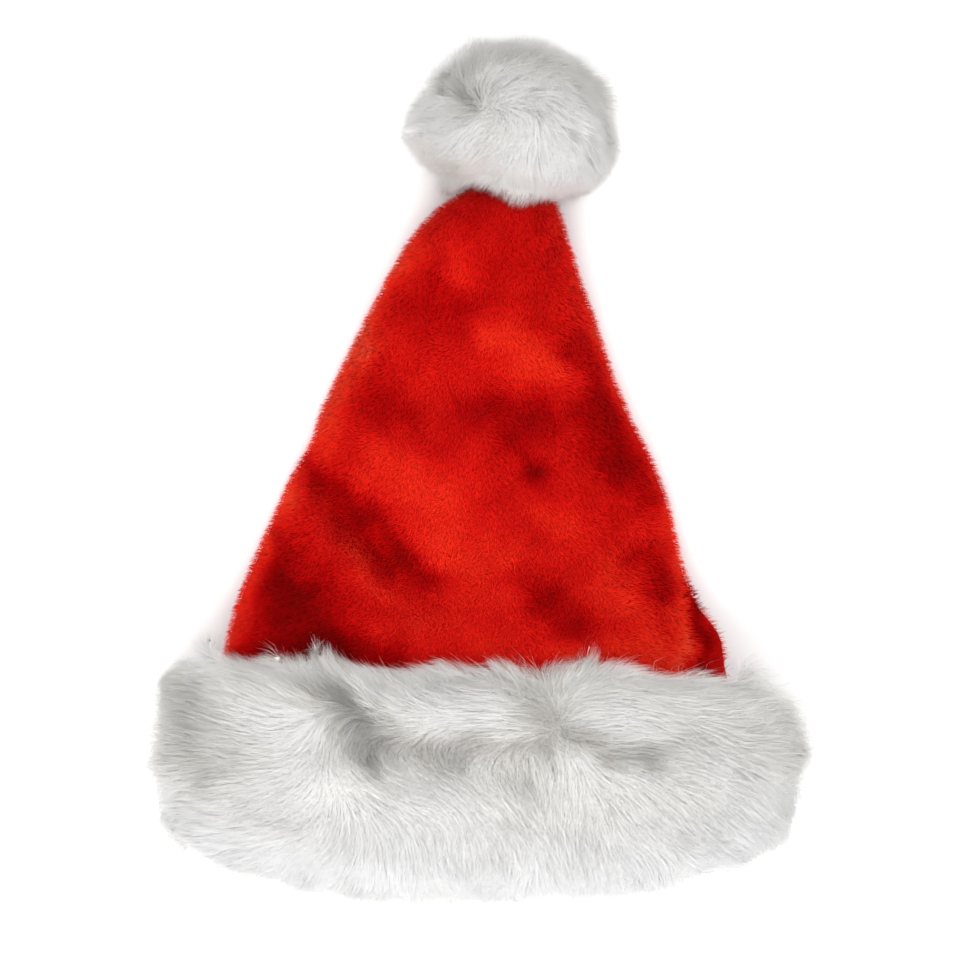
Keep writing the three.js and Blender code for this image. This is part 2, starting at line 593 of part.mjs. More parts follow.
// A point of the pompom's ball in one direction from its centre: blunt, gathered into creases on top and
// pressed flat underneath
function pompomPoint(direction) {
  const share = (value, size) => Math.abs(value / (size / 2)) ** BALL_POWER;
  const { x, y, z } = direction;
  const sum = share(x, POMPOM_WIDTH) + share(y, POMPOM_LENGTH) + share(z, POMPOM_HEIGHT);
  const plain = direction.clone().multiplyScalar(sum ** (-1 / BALL_POWER));
  const seen = new THREE.Vector2(plain.x, plain.y);
  const pressed = POMPOM_CREASES.reduce((depth, crease) => {
    const from = new THREE.Vector2(crease.across * POMPOM_WIDTH, crease.along * POMPOM_LENGTH);
    const to = new THREE.Vector2(crease.toAcross * POMPOM_WIDTH, crease.toAlong * POMPOM_LENGTH);
    return Math.max(depth, crease.depth * nearLine(seen, from, to, crease.width * POMPOM_WIDTH));
  }, 0);
  const facing = smooth(z, CREASES_FADE.from, CREASES_FADE.full);
  const point = plain.multiplyScalar(1 - pressed * facing).add(POMPOM_CENTRE);
  point.z = Math.max(0, point.z);
  return point;
}

// A lock that follows the pompom's ball from one direction, combed downwards and towards the crown
function pompomLock(out, combed, size) {
  const forward = combed.clone().addScaledVector(out, -combed.dot(out)).normalize();
  const sweep = size.length / (pompomPoint(out).distanceTo(POMPOM_CENTRE) || 1);
  const at = (share) =>
    out.clone().multiplyScalar(Math.cos(sweep * share)).addScaledVector(forward, Math.sin(sweep * share));
  return lock((share) => pompomPoint(at(share)), at, size);
}

// Directions spread evenly over a ball
function spread(count) {
  const golden = Math.PI * (3 - Math.sqrt(5));
  return Array.from({ length: count }, (_, i) => {
    const height = 1 - (2 * (i + 0.5)) / count;
    const flat = Math.sqrt(1 - height * height);
    return new THREE.Vector3(flat * Math.cos(i * golden), flat * Math.sin(i * golden), height);
  });
}

// The pompom's locks are combed towards the crown and a little down and to the left. They leave free its
// underside, and the place where the crown goes in.
const POMPOM_COMBED = { x: -0.25, y: -0.8, z: -0.35, varies: 0.35 };
const POMPOM_BARE = { below: -0.55, crownward: -0.5, under: 0.2 };

function pompomLocks() {
  const waver = waverer(5);
  const { x, y, z, varies } = POMPOM_COMBED;
  const furred = (out) =>
    out.z > POMPOM_BARE.below && !(out.y < POMPOM_BARE.crownward && out.z < POMPOM_BARE.under);
  return spread(POMPOM_LOCKS)
    .filter(furred)
    .map((out) => {
      const combed = new THREE.Vector3(x + varies * waver(), y, z + varies * waver());
      const length = POMPOM_LOCK.length * (1 + LOCK_VARIES * waver());
      return pompomLock(out, combed, { ...POMPOM_LOCK, length });
    });
}

function pompomSolid() {
  const ball = mergeVertices(bareGeometry(new THREE.IcosahedronGeometry(1, POMPOM_DETAIL)), 1e-4);
  const place = ball.attributes.position;
  const direction = new THREE.Vector3();
  for (let i = 0; i < place.count; i += 1) {
    const point = pompomPoint(direction.fromBufferAttribute(place, i).normalize());
    place.setXYZ(i, point.x, point.y, point.z);
  }
  const furred = wholeOf(pompomLocks().reduce((sum, one) => sum.add(one), solidOf(ball)));
  return wholeOf(furred.subtract(tipRoom()).intersect(aboveSurface()));
}

function bareGeometry(geometry) {
  geometry.deleteAttribute("normal");
  geometry.deleteAttribute("uv");
  return geometry;
}

function piece(name, solid, material) {
  const mesh = new THREE.Mesh(geometryOf(solid), material);
  mesh.name = name;
  return mesh;
}

const redPlush = new THREE.MeshStandardMaterial({ color: 0xc4140c, roughness: 0.9, metalness: 0 });
const whiteFur = new THREE.MeshStandardMaterial({ color: 0xe9e7e4, roughness: 0.95, metalness: 0 });

const hat = new THREE.Group();
hat.name = "santa_hat";
hat.add(piece("crown", crownSolid(), redPlush));
hat.add(piece("cuff", cuffSolid(), whiteFur));
hat.add(piece("pompom", pompomSolid(), whiteFur.clone()));

export default hat;
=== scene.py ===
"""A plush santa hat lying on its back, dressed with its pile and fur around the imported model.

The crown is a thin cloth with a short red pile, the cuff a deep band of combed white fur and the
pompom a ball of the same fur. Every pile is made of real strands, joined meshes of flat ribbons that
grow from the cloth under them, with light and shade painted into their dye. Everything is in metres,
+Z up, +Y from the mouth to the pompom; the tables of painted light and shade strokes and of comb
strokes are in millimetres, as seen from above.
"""

from __future__ import annotations

import json
import logging
import math
from collections.abc import Callable, Sequence
from dataclasses import dataclass, field
from enum import Enum

import bpy
import numpy as np
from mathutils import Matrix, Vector, noise
from mathutils.bvhtree import BVHTree
from mathutils.kdtree import KDTree

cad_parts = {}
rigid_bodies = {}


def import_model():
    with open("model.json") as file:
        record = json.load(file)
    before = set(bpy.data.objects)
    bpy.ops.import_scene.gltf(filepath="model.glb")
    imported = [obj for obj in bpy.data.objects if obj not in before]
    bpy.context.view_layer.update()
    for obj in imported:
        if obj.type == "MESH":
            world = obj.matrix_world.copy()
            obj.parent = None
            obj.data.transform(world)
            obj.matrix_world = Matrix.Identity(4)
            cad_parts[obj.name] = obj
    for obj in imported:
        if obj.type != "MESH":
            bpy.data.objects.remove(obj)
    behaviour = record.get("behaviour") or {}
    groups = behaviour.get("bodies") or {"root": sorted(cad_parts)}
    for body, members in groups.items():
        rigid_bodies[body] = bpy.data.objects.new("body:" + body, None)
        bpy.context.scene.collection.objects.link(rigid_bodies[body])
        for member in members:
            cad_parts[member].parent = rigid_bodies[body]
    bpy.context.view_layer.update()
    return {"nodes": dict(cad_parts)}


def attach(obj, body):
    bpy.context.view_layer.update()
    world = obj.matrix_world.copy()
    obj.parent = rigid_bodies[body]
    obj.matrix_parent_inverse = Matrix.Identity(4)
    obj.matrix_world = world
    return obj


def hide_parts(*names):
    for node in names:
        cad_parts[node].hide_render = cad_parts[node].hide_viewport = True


LOG = logging.getLogger("santa_hat")
MM = 0.001
UP = np.array([0.0, 0.0, 1.0])
STRAND_MAP = "OFBake"
DYE_AND_SHADING = "dye_and_shading"
WAVE_TURNS = 20  # radians a metre in a wave texture of scale 1
FLOOR_GAP = 0.4 * MM  # between the bodies' undersides and the floor
TALLEST = 120 * MM  # a ray of this length passes through all of the hat

Array = np.ndarray


def linear(code: str) -> tuple[float, float, float, float]:
    """Turns an sRGB colour of six hex digits into linear red, green, blue and alpha."""
    values = [int(code[i : i + 2], 16) / 255 for i in (0, 2, 4)]
    red, green, blue = (v / 12.92 if v <= 0.04045 else ((v + 0.055) / 1.055) ** 2.4 for v in values)
    return red, green, blue, 1.0


def unit(vectors: Array) -> Array:
    """Scales each vector in the last axis to a length of one."""
    return vectors / np.maximum(np.linalg.norm(vectors, axis=-1, keepdims=True), 1e-12)


def along_surface(wish: Array, facing: Array) -> Array:
    """Turns wished directions into the plane of a surface, given its outward directions."""
    return unit(wish - facing * (wish * facing).sum(-1, keepdims=True))


def ramp(values: Array, low: float, high: float) -> Array:
    """A smooth step from 0 at low to 1 at high."""
    share = np.clip((values - low) / (high - low), 0, 1)
    return share * share * (3 - 2 * share)


def mottle(places: Array, size: float, shift: float = 0.0) -> Array:
    """Smooth random values between about -1 and 1, one for each point.

    Args:
        places: points in metres, one row each.
        size: the size of a mottle in millimetres.
        shift: moves the pattern, so that two of them differ.
    """
    scaled = places / (size * MM) + shift
    return np.array([noise.noise(Vector(p)) for p in scaled]) * 1.6


def take(piece: bpy.types.Object) -> None:
    """Selects one object alone and makes it active."""
    bpy.ops.object.select_all(action="DESELECT")
    piece.select_set(True)
    bpy.context.view_layer.objects.active = piece


def apply_modifier(piece: bpy.types.Object, kind: str, **settings: object) -> None:
    """Adds a modifier of a kind to a piece, with its settings, and applies it."""
    take(piece)
    modifier = piece.modifiers.new(kind.title(), kind)
    for name, value in settings.items():
        setattr(modifier, name, value)
    bpy.ops.object.modifier_apply(modifier=modifier.name)


def add_node(
    tree: bpy.types.NodeTree,
    kind: str,
    links: dict[str | int, object] | None = None,
    **settings: object,
) -> bpy.types.Node:
    """Adds a node, with its settings and what feeds it.

    Args:
        tree: the node tree.
        kind: the node's type name.
        links: for each input, a value or the output socket that feeds it.
        settings: the node's own properties.

    Returns:
        The new node.
    """
    node = tree.nodes.new(kind)
    for name, value in settings.items():
        setattr(node, name, value)
    for name, value in (links or {}).items():
        if isinstance(value, bpy.types.NodeSocket):
            tree.links.new(value, node.inputs[name])
        else:
            node.inputs[name].default_value = value
    return node


def colour_ramp(
    tree: bpy.types.NodeTree, factor: bpy.types.NodeSocket, stops: Sequence[tuple[float, str]]
) -> bpy.types.NodeSocket:
    """Adds a colour ramp of places and hex colours and gives its colour's socket."""
    node = add_node(tree, "ShaderNodeValToRGB", {"Fac": factor})
    elements = node.color_ramp.elements
    while len(elements) < len(stops):
        elements.new(0.5)
    for element, (place, code) in zip(elements, stops, strict=True):
        element.position = place
        element.color = linear(code)
    return node.outputs["Color"]


def multiplied(
    tree: bpy.types.NodeTree, one: bpy.types.NodeSocket, other: bpy.types.NodeSocket
) -> bpy.types.NodeSocket:
    """Multiplies two colours and gives the product's socket."""
    links = {"Factor": 1.0, 6: one, 7: other}
    mix = add_node(tree, "ShaderNodeMix", links, data_type="RGBA", blend_type="MULTIPLY")
    return mix.outputs[2]


def new_material(
    name: str, roughness: float, specular: float
) -> tuple[bpy.types.Material, bpy.types.NodeTree, bpy.types.Node]:
    """Makes a plain material.

    Args:
        name: its name.
        roughness: how matt it is.
        specular: its gloss, 0.5 for that of plain plastic.

    Returns:
        The material, its node tree and its Principled shader, already joined to the output.
    """
    material = bpy.data.materials.new(name)
    material.use_nodes = True
    tree = material.node_tree
    tree.nodes.clear()
    shader = add_node(tree, "ShaderNodeBsdfPrincipled")
    shader.inputs["Roughness"].default_value = roughness
    shader.inputs["Specular IOR Level"].default_value = specular
    add_node(tree, "ShaderNodeOutputMaterial", {"Surface": shader.outputs["BSDF"]})
    return material, tree, shader


# Finishes


@dataclass(frozen=True)
class StrandFinish:
    """Dyed acrylic strands: matt, with a soft bloom where the light grazes them.

    A strand carries its dye, with the painted light and shade in it, as U and its own length, from root
    to tip, as V of its map, so the colour is the same wherever two strands share a place on the map. Its
    colour is multiplied by root, painted shade deep in the pile, that fades out by root_shade_until of
    its length.
    """

    name: str
    dyes_shaded_to_lit: tuple[tuple[float, str], ...]
    root: str
    root_shade_until: float
    specular: float
    sheen: float
    roughness: float = 0.8
    sheen_tint: str = "ffffff"
    sheen_spread: float = 0.4
    glow_through: float = 0.0
    glow_reach: float = 4 * MM

    def build(self) -> bpy.types.Material:
        """Makes the material."""
        material, tree, shader = new_material(self.name, self.roughness, self.specular)
        place = add_node(tree, "ShaderNodeUVMap", uv_map=STRAND_MAP)
        split = add_node(tree, "ShaderNodeSeparateXYZ", {0: place.outputs["UV"]})
        dye_and_shading = colour_ramp(tree, split.outputs["X"], self.dyes_shaded_to_lit)
        # painted shade: each strand darker at its root, fading to none by root_shade_until of its length
        roots = ((0.0, self.root), (self.root_shade_until, "ffffff"))
        depth = colour_ramp(tree, split.outputs["Y"], roots)
        tree.links.new(multiplied(tree, dye_and_shading, depth), shader.inputs["Base Color"])
        shader.inputs["Sheen Weight"].default_value = self.sheen
        shader.inputs["Sheen Roughness"].default_value = self.sheen_spread
        shader.inputs["Sheen Tint"].default_value = linear(self.sheen_tint)
        shader.inputs["Subsurface Weight"].default_value = self.glow_through
        shader.inputs["Subsurface Radius"].default_value = (1.0, 1.0, 1.0)
        shader.inputs["Subsurface Scale"].default_value = self.glow_reach
        return material


@dataclass(frozen=True)
class PileFootFinish:
    """The foot of a dense pile, seen between its strands: dyed as they are, darker as painted shade deep
    in the pile, with painted shade in the hollows of its tuft flecks, and with no gloss.
    """

    name: str
    dyes_shaded_to_lit: tuple[tuple[float, str], ...]
    fleck: float
    hollow_shade: str
    bump: float = 0.4 * MM

    def build(self) -> bpy.types.Material:
        """Makes the material."""
        material, tree, shader = new_material(self.name, roughness=0.95, specular=0.1)
        dye_and_shading = add_node(tree, "ShaderNodeAttribute", attribute_name=DYE_AND_SHADING)
        colour = colour_ramp(tree, dye_and_shading.outputs["Fac"], self.dyes_shaded_to_lit)
        place = add_node(tree, "ShaderNodeTexCoord").outputs["Object"]
        flecks = add_node(
            tree,
            "ShaderNodeTexNoise",
            {"Vector": place, "Scale": 1 / self.fleck, "Detail": 3.0, "Roughness": 0.6},
        )
        # painted shade: the flecks darker in their hollows, down to hollow_shade
        shade = colour_ramp(tree, flecks.outputs["Fac"], ((0.3, self.hollow_shade), (0.7, "ffffff")))
        tree.links.new(multiplied(tree, colour, shade), shader.inputs["Base Color"])
        bump = add_node(
            tree,
            "ShaderNodeBump",
            {"Height": flecks.outputs["Fac"], "Distance": self.bump, "Strength": 0.8},
        )
        tree.links.new(bump.outputs["Normal"], shader.inputs["Normal"])
        return material


@dataclass(frozen=True)
class KnitFinish:
    """The knitted backing inside the crown: fine ribs of looped yarn, flat and dry to the eye, painted
    darker in the grooves between the loops as shade.
    """

    name: str
    yarn: str
    groove_shade: str
    rib: float = 1.4 * MM
    course: float = 0.98 * MM
    loop_height: float = 0.3 * MM

    def build(self) -> bpy.types.Material:
        """Makes the material."""
        material, tree, shader = new_material(self.name, roughness=0.9, specular=0.2)
        place = add_node(tree, "ShaderNodeTexCoord").outputs["Object"]
        waves = []
        for way, apart, bent in (("X", self.rib, 0.6), ("Y", self.course, 0.9)):
            scale = 2 * math.pi / (WAVE_TURNS * apart)
            values = {"Vector": place, "Scale": scale, "Distortion": bent, "Detail": 2.0}
            waves.append(add_node(tree, "ShaderNodeTexWave", values, bands_direction=way).outputs["Fac"])
        loops = add_node(tree, "ShaderNodeMath", dict(enumerate(waves)), operation="MULTIPLY")
        # painted shade: the grooves between the loops darker, down to groove_shade
        colour = colour_ramp(tree, loops.outputs["Value"], ((0.0, self.groove_shade), (0.5, self.yarn)))
        tree.links.new(colour, shader.inputs["Base Color"])
        bump = add_node(
            tree,
            "ShaderNodeBump",
            {"Height": loops.outputs["Value"], "Distance": self.loop_height, "Strength": 0.6},
        )
        tree.links.new(bump.outputs["Normal"], shader.inputs["Normal"])
        return material


@dataclass(frozen=True)
class FloorFinish:
    """Matt studio paper: pale, with a faint mottle that only shows up close."""

    name: str = "studio_paper"
    light: str = "ffffff"
    shade: str = "fcfcfc"

    def build(self) -> bpy.types.Material:
        """Makes the material."""
        material, tree, shader = new_material(self.name, roughness=0.9, specular=0.1)
        place = add_node(tree, "ShaderNodeTexCoord").outputs["Object"]
        mottled = add_node(tree, "ShaderNodeTexNoise", {"Vector": place, "Scale": 30.0, "Detail": 4.0})
        colour = colour_ramp(tree, mottled.outputs["Fac"], ((0.35, self.shade), (0.65, self.light)))
        tree.links.new(colour, shader.inputs["Base Color"])
        return material


# The dyes, from painted shade, as on pile seen end on, to a painted highlight, as on pile that lies
# over and catches the light; the red foot's dyes are the same made darker, as painted shade deep in the
# pile
RED_DYES_SHADED_TO_LIT = ((0.0, "8a0000"), (0.3, "c40404"), (0.55, "e8170f"), (0.8, "fb2f19"), (1.0, "ff4a2e"))
RED_FOOT_DYES_SHADED_TO_LIT = ((0.0, "760000"), (0.3, "b00303"), (0.55, "d4130c"), (0.8, "e82816"), (1.0, "f04028"))
WHITE_DYES_SHADED_TO_LIT = ((0.0, "a8a6a4"), (0.3, "d8d6d3"), (0.62, "f8f7f4"), (1.0, "ffffff"))

# Dyed acrylic plush, cut short: deep and velvety, with hardly any gloss; its strands painted darker
# towards the root, as shade deep in the pile
RED_STRANDS = StrandFinish(
    name="red_acrylic_plush",
    dyes_shaded_to_lit=RED_DYES_SHADED_TO_LIT,
    root="c0c0c0",
    root_shade_until=0.6,
    specular=0.04,
    sheen=0.06,
    roughness=0.85,
    sheen_tint="ff6a4a",
)
# The plush's foot: its tufts stand 0.9 mm apart in the backing and are painted darker in their hollows
RED_FOOT = PileFootFinish("red_plush_foot", RED_FOOT_DYES_SHADED_TO_LIT, fleck=0.9 * MM, hollow_shade="c4c4c4")
# Knitted polyester backing: dull, with ribs 1.4 mm apart and painted shade in its grooves
RED_KNIT = KnitFinish(name="red_knitted_backing", yarn="a81410", groove_shade="5e0806")
# Long combed acrylic fur: pale and thin, so that light passes from strand to strand; a faint painted
# shade towards the roots
WHITE_STRANDS = StrandFinish(
    name="white_acrylic_fur",
    dyes_shaded_to_lit=WHITE_DYES_SHADED_TO_LIT,
    root="f6f5f4",
    root_shade_until=0.3,
    specular=0.1,
    sheen=0.1,
    glow_through=0.8,
)
# The fur's foot: coarser tufts, 1.6 mm apart, faintly painted darker in their hollows
WHITE_FOOT = PileFootFinish("white_fur_foot", WHITE_DYES_SHADED_TO_LIT, fleck=1.6 * MM, hollow_shade="ecebea")


def material_of(finish: StrandFinish | PileFootFinish) -> bpy.types.Material:
    """Gives a finish's material, made the first time it is asked for."""
    return bpy.data.materials.get(finish.name) or finish.build()


# Surfaces that pile grows from


class Surface:
    """A mesh as arrays, for picking points on it and for finding the nearest one."""

    def __init__(self, piece: bpy.types.Object) -> None:
        """Reads the piece's mesh as it is now."""
        mesh = piece.data
        mesh.calc_loop_triangles()
        points = np.empty(len(mesh.vertices) * 3, np.float32)
        normals = np.empty(len(mesh.vertices) * 3, np.float32)
        corners = np.empty(len(mesh.loop_triangles) * 3, np.int32)
        mesh.vertices.foreach_get("co", points)
        mesh.vertices.foreach_get("normal", normals)
        mesh.loop_triangles.foreach_get("vertices", corners)
        self.points = points.reshape(-1, 3).astype(float)
        self.normals = normals.reshape(-1, 3).astype(float)
        self.corners = corners.reshape(-1, 3)
        a, b, c = (self.points[self.corners[:, k]] for k in range(3))
        crossed = np.cross(b - a, c - a)
        self.areas = np.linalg.norm(crossed, axis=1) / 2
        self.facing = unit(self.normals[self.corners].mean(axis=1))
        self.middles = (a + b + c) / 3
        self.tree = BVHTree.FromPolygons(self.points.tolist(), self.corners.tolist())

    def nearest(self, places: Array) -> tuple[Array, Array]:
        """Finds the nearest points.

        Args:
            places: points, one row each.

        Returns:
            The nearest point of the surface to each, and the smooth outward direction there.
        """
        found = [self.tree.find_nearest(Vector(p)) for p in places]
        near = np.array([f[0] for f in found])
        return near, self.facing[np.array([f[2] for f in found])]

    def hit(self, place: Array, direction: Array, reach: float) -> bool:
        """Tells whether a ray meets the surface within a distance."""
        return self.tree.ray_cast(Vector(place), Vector(direction), reach)[0] is not None

    def thickness(self, most: float) -> Array:
        """Measures how much material lies straight behind each vertex, up to most."""
        below = []
        for point, normal in zip(self.points, self.normals, strict=True):
            start = Vector(point - normal * 0.05 * MM)
            below.append(self.tree.ray_cast(start, Vector(-normal), most)[3] or most)
        return np.array(below)

    def scatter(self, count: int, keep: Array, rng: np.random.Generator) -> tuple[Array, Array]:
        """Picks points evenly over some of the surface's triangles.

        Args:
            count: how many.
            keep: how densely each triangle is planted, 0 for not at all.
            rng: the random numbers.

        Returns:
            The points and the smooth outward directions there.
        """
        weight = self.areas * keep
        picked = rng.choice(len(weight), size=count, p=weight / weight.sum())
        first, second = rng.random((2, count))
        over = first + second > 1
        first[over], second[over] = 1 - first[over], 1 - second[over]
        shares = np.stack([1 - first - second, first, second], axis=1)[:, :, None]
        corners = self.corners[picked]
        return (self.points[corners] * shares).sum(1), unit((self.normals[corners] * shares).sum(1))


def copy_of(node: bpy.types.Object, name: str) -> bpy.types.Object:
    """Copies a CAD node as a new piece with merged corners, at the origin."""
    piece = bpy.data.objects.new(name, node.data.copy())
    bpy.context.scene.collection.objects.link(piece)
    piece.data.name = name
    piece.data.materials.clear()
    while piece.data.uv_layers:
        piece.data.uv_layers.remove(piece.data.uv_layers[0])
    take(piece)
    bpy.ops.object.mode_set(mode="EDIT")
    bpy.ops.mesh.select_all(action="SELECT")
    bpy.ops.mesh.remove_doubles(threshold=0.01 * MM)
    bpy.ops.mesh.customdata_custom_splitnormals_clear()
    bpy.ops.object.mode_set(mode="OBJECT")
    bpy.ops.object.shade_smooth()
    return piece


def move_points(piece: bpy.types.Object, points: Array) -> None:
    """Puts a mesh's vertices at new places."""
    piece.data.vertices.foreach_set("co", points.astype(np.float32).ravel())
    piece.data.update()


def keep_whole(piece: bpy.types.Object) -> None:
    """Deletes the loose crumbs of a mesh and keeps what hangs together with its highest vertex."""
    highest = max(piece.data.vertices, key=lambda vertex: vertex.co.z).index
    take(piece)
    bpy.ops.object.mode_set(mode="EDIT")
    bpy.ops.mesh.select_all(action="DESELECT")
    bpy.ops.object.mode_set(mode="OBJECT")
    piece.data.vertices[highest].select = True
    bpy.ops.object.mode_set(mode="EDIT")
    bpy.ops.mesh.select_mode(type="VERT")
    bpy.ops.mesh.select_linked()
    bpy.ops.mesh.select_all(action="INVERT")
    bpy.ops.mesh.delete(type="VERT")
    bpy.ops.object.mode_set(mode="OBJECT")


def store_dye_and_shading(piece: bpy.types.Object, dye_and_shading: Array) -> None:
    """Stores the dye of each vertex, with its painted light and shade, from 0 to 1, for the materials to
    read.
    """
    layer = piece.data.attributes.new(DYE_AND_SHADING, "FLOAT", "POINT")
    layer.data.foreach_set("value", np.clip(dye_and_shading, 0, 1).astype(np.float32))


# Strokes of painted light and shade, strokes of a comb, and soft pushes on a body


@dataclass(frozen=True)
class Push:
    """A soft push on a body seen from above: where, by how much and its reach, in millimetres."""

    place: tuple[float, float]
    by: tuple[float, float]
    reach: float


def pushed(pushes: Sequence[Push], points: Array) -> Array:
    """Moves points, in metres and one row each, by all the pushes near them."""
    moved = points.copy()
    for push in pushes:
        away = np.linalg.norm(points[:, :2] / MM - np.array(push.place), axis=1) / push.reach
        moved[:, :2] += np.exp(-(away**2))[:, None] * np.array(push.by) * MM
    return moved


@dataclass(frozen=True)
class PaintedLightStroke:
    """A soft stroke of painted light and shade on the pile, which lightens or darkens its tone.

    start and end are places seen from above and reach the stroke's half width, in millimetres. tone is
    how much lighter it gets: painted light above 0, painted shade below.
    """

    start: tuple[float, float]
    end: tuple[float, float]
    reach: float
    tone: float


@dataclass(frozen=True)
class CombStroke:
    """A place where the fur was combed in one direction, in degrees from +X towards +Y."""

    place: tuple[float, float]
    heading: float
    reach: float


def each(kind: Callable[..., object], *rows: tuple) -> tuple:
    """Makes one stroke or push of a kind from each row of its values."""
    return tuple(kind(*row) for row in rows)


def painted_light_at(strokes: Sequence[PaintedLightStroke], places: Array, waver: float = 5.0) -> Array:
    """Adds up the strokes of painted light and shade at some places.

    Args:
        strokes: the strokes.
        places: points in metres, one row each.
        waver: how far the strokes' edges waver, in millimetres.

    Returns:
        The change of tone at each point.
    """
    seen = places[:, :2] / MM
    seen = seen + waver * np.stack([mottle(places, 16, 3.1), mottle(places, 16, 9.7)], axis=1)
    tone = np.zeros(len(places))
    for stroke in strokes:
        start = np.array(stroke.start)
        line = np.array(stroke.end) - start
        share = np.clip(((seen - start) @ line) / max(line @ line, 1e-6), 0, 1)
        away = np.linalg.norm(seen - start - share[:, None] * line, axis=1) / stroke.reach
        tone += stroke.tone * np.exp(-(away**2))
    return tone


def combed(strokes: Sequence[CombStroke], places: Array) -> Array:
    """Blends the comb strokes at some places.

    Args:
        strokes: the strokes.
        places: points in metres, one row each.

    Returns:
        A direction in the plane of the floor for each point, the shorter the less the strokes agree.
    """
    seen = places[:, :2] / MM
    total, weights = np.zeros((len(places), 2)), np.zeros((len(places), 1))
    for stroke in strokes:
        away = np.linalg.norm(seen - np.array(stroke.place), axis=1, keepdims=True) / stroke.reach
        turn = math.radians(stroke.heading)
        weight = np.exp(-(away**2)) + 1e-4 / (1 + away**2)
        total += weight * np.array([math.cos(turn), math.sin(turn)])
        weights += weight
    return np.concatenate([total / weights, np.zeros((len(places), 1))], axis=1)


# Strands


@dataclass
class Ribbons:
    """Strands as flat tapering ribbons, all in one mesh.

    roll is how far a ribbon may turn about its own length, in radians. soft is how much its shading
    follows the surface that it grows from, and round how much it is shaded as a round hair.
    """

    name: str
    finish: bpy.types.Material
    roll: float
    soft: float
    round: float
    taper: float = 0.6
    lowest: float = 0.2 * MM

    def build(self, paths: Array, out: Array, widths: Array, dye_and_shading: Array, seed: int) -> bpy.types.Object:
        """Makes the mesh.

        Args:
            paths: each strand's stations from root to tip, strands by stations by 3.
            out: the outward direction at each station, in the same shape.
            widths: each strand's width at its root, in metres.
            dye_and_shading: each strand's dye, with its painted light and shade, from 0 to 1.
            seed: for the way that each ribbon is rolled.

        Returns:
            The new piece.
        """
        count, stations = paths.shape[:2]
        pairs = stations - 1
        tangent = unit(np.gradient(paths, axis=1))
        across = unit(np.cross(tangent, out))
        facing = np.cross(across, tangent)
        rolled = np.random.default_rng(seed).uniform(-self.roll, self.roll, (count, 1, 1))
        side = across * np.cos(rolled) + facing * np.sin(rolled)
        front = facing * np.cos(rolled) - across * np.sin(rolled)
        share = np.linspace(0, 1, stations)
        taper = 1 - self.taper * share[:pairs] ** 1.5
        half = widths[:, None, None] * taper[None, :, None] / 2
        left = paths[:, :pairs] - side[:, :pairs] * half
        right = paths[:, :pairs] + side[:, :pairs] * half
        per = 2 * pairs + 1
        points = self.laced(left, right, paths[:, -1])
        points[:, :, 2] = np.maximum(points[:, :, 2], self.lowest)
        shading = unit(out * self.soft + front * (1 - self.soft))
        turned = side[:, :pairs] * self.round
        normals = self.laced(
            unit(shading[:, :pairs] - turned), unit(shading[:, :pairs] + turned), shading[:, -1]
        )
        starts = 4 * np.arange(pairs)
        pattern = [2 * k + i for k in range(pairs - 1) for i in (0, 1, 3, 2)]
        pattern += [2 * pairs - 2, 2 * pairs - 1, 2 * pairs]
        loops = (np.arange(count)[:, None] * per + np.array(pattern)).ravel()
        firsts = (np.arange(count)[:, None] * len(pattern) + starts).ravel()
        mesh = bpy.data.meshes.new(self.name)
        mesh.vertices.add(count * per)
        mesh.vertices.foreach_set("co", points.astype(np.float32).ravel())
        mesh.loops.add(len(loops))
        mesh.loops.foreach_set("vertex_index", loops.astype(np.int32))
        mesh.polygons.add(len(firsts))
        mesh.polygons.foreach_set("loop_start", firsts.astype(np.int32))
        mesh.update(calc_edges=True)
        mesh.polygons.foreach_set("use_smooth", np.ones(len(firsts), bool))
        across_map = np.clip(dye_and_shading, 0.01, 0.99)[:, None] + np.tile([-0.002, 0.002], pairs + 1)[:per]
        along_map = np.append(np.repeat(share[:pairs], 2), 1.0)[None, :] * np.ones((count, 1))
        uv = np.stack([across_map, 0.02 + 0.96 * along_map], axis=2).reshape(-1, 2)
        layer = mesh.uv_layers.new(name=STRAND_MAP)
        layer.data.foreach_set("uv", uv[loops].astype(np.float32).ravel())
        mesh.normals_split_custom_set_from_vertices(normals.reshape(-1, 3).tolist())
        mesh.materials.append(self.finish)
        piece = bpy.data.objects.new(self.name, mesh)
        bpy.context.scene.collection.objects.link(piece)
        return piece

    @staticmethod
    def laced(left: Array, right: Array, tip: Array) -> Array:
        """Sets rows for a ribbon's left edge, right edge and tip in the order of its vertices."""
        pairs = left.shape[1]
        rows = np.empty((len(left), 2 * pairs + 1, 3))
        rows[:, 0:-1:2] = left
        rows[:, 1:-1:2] = right
        rows[:, -1] = tip
        return rows


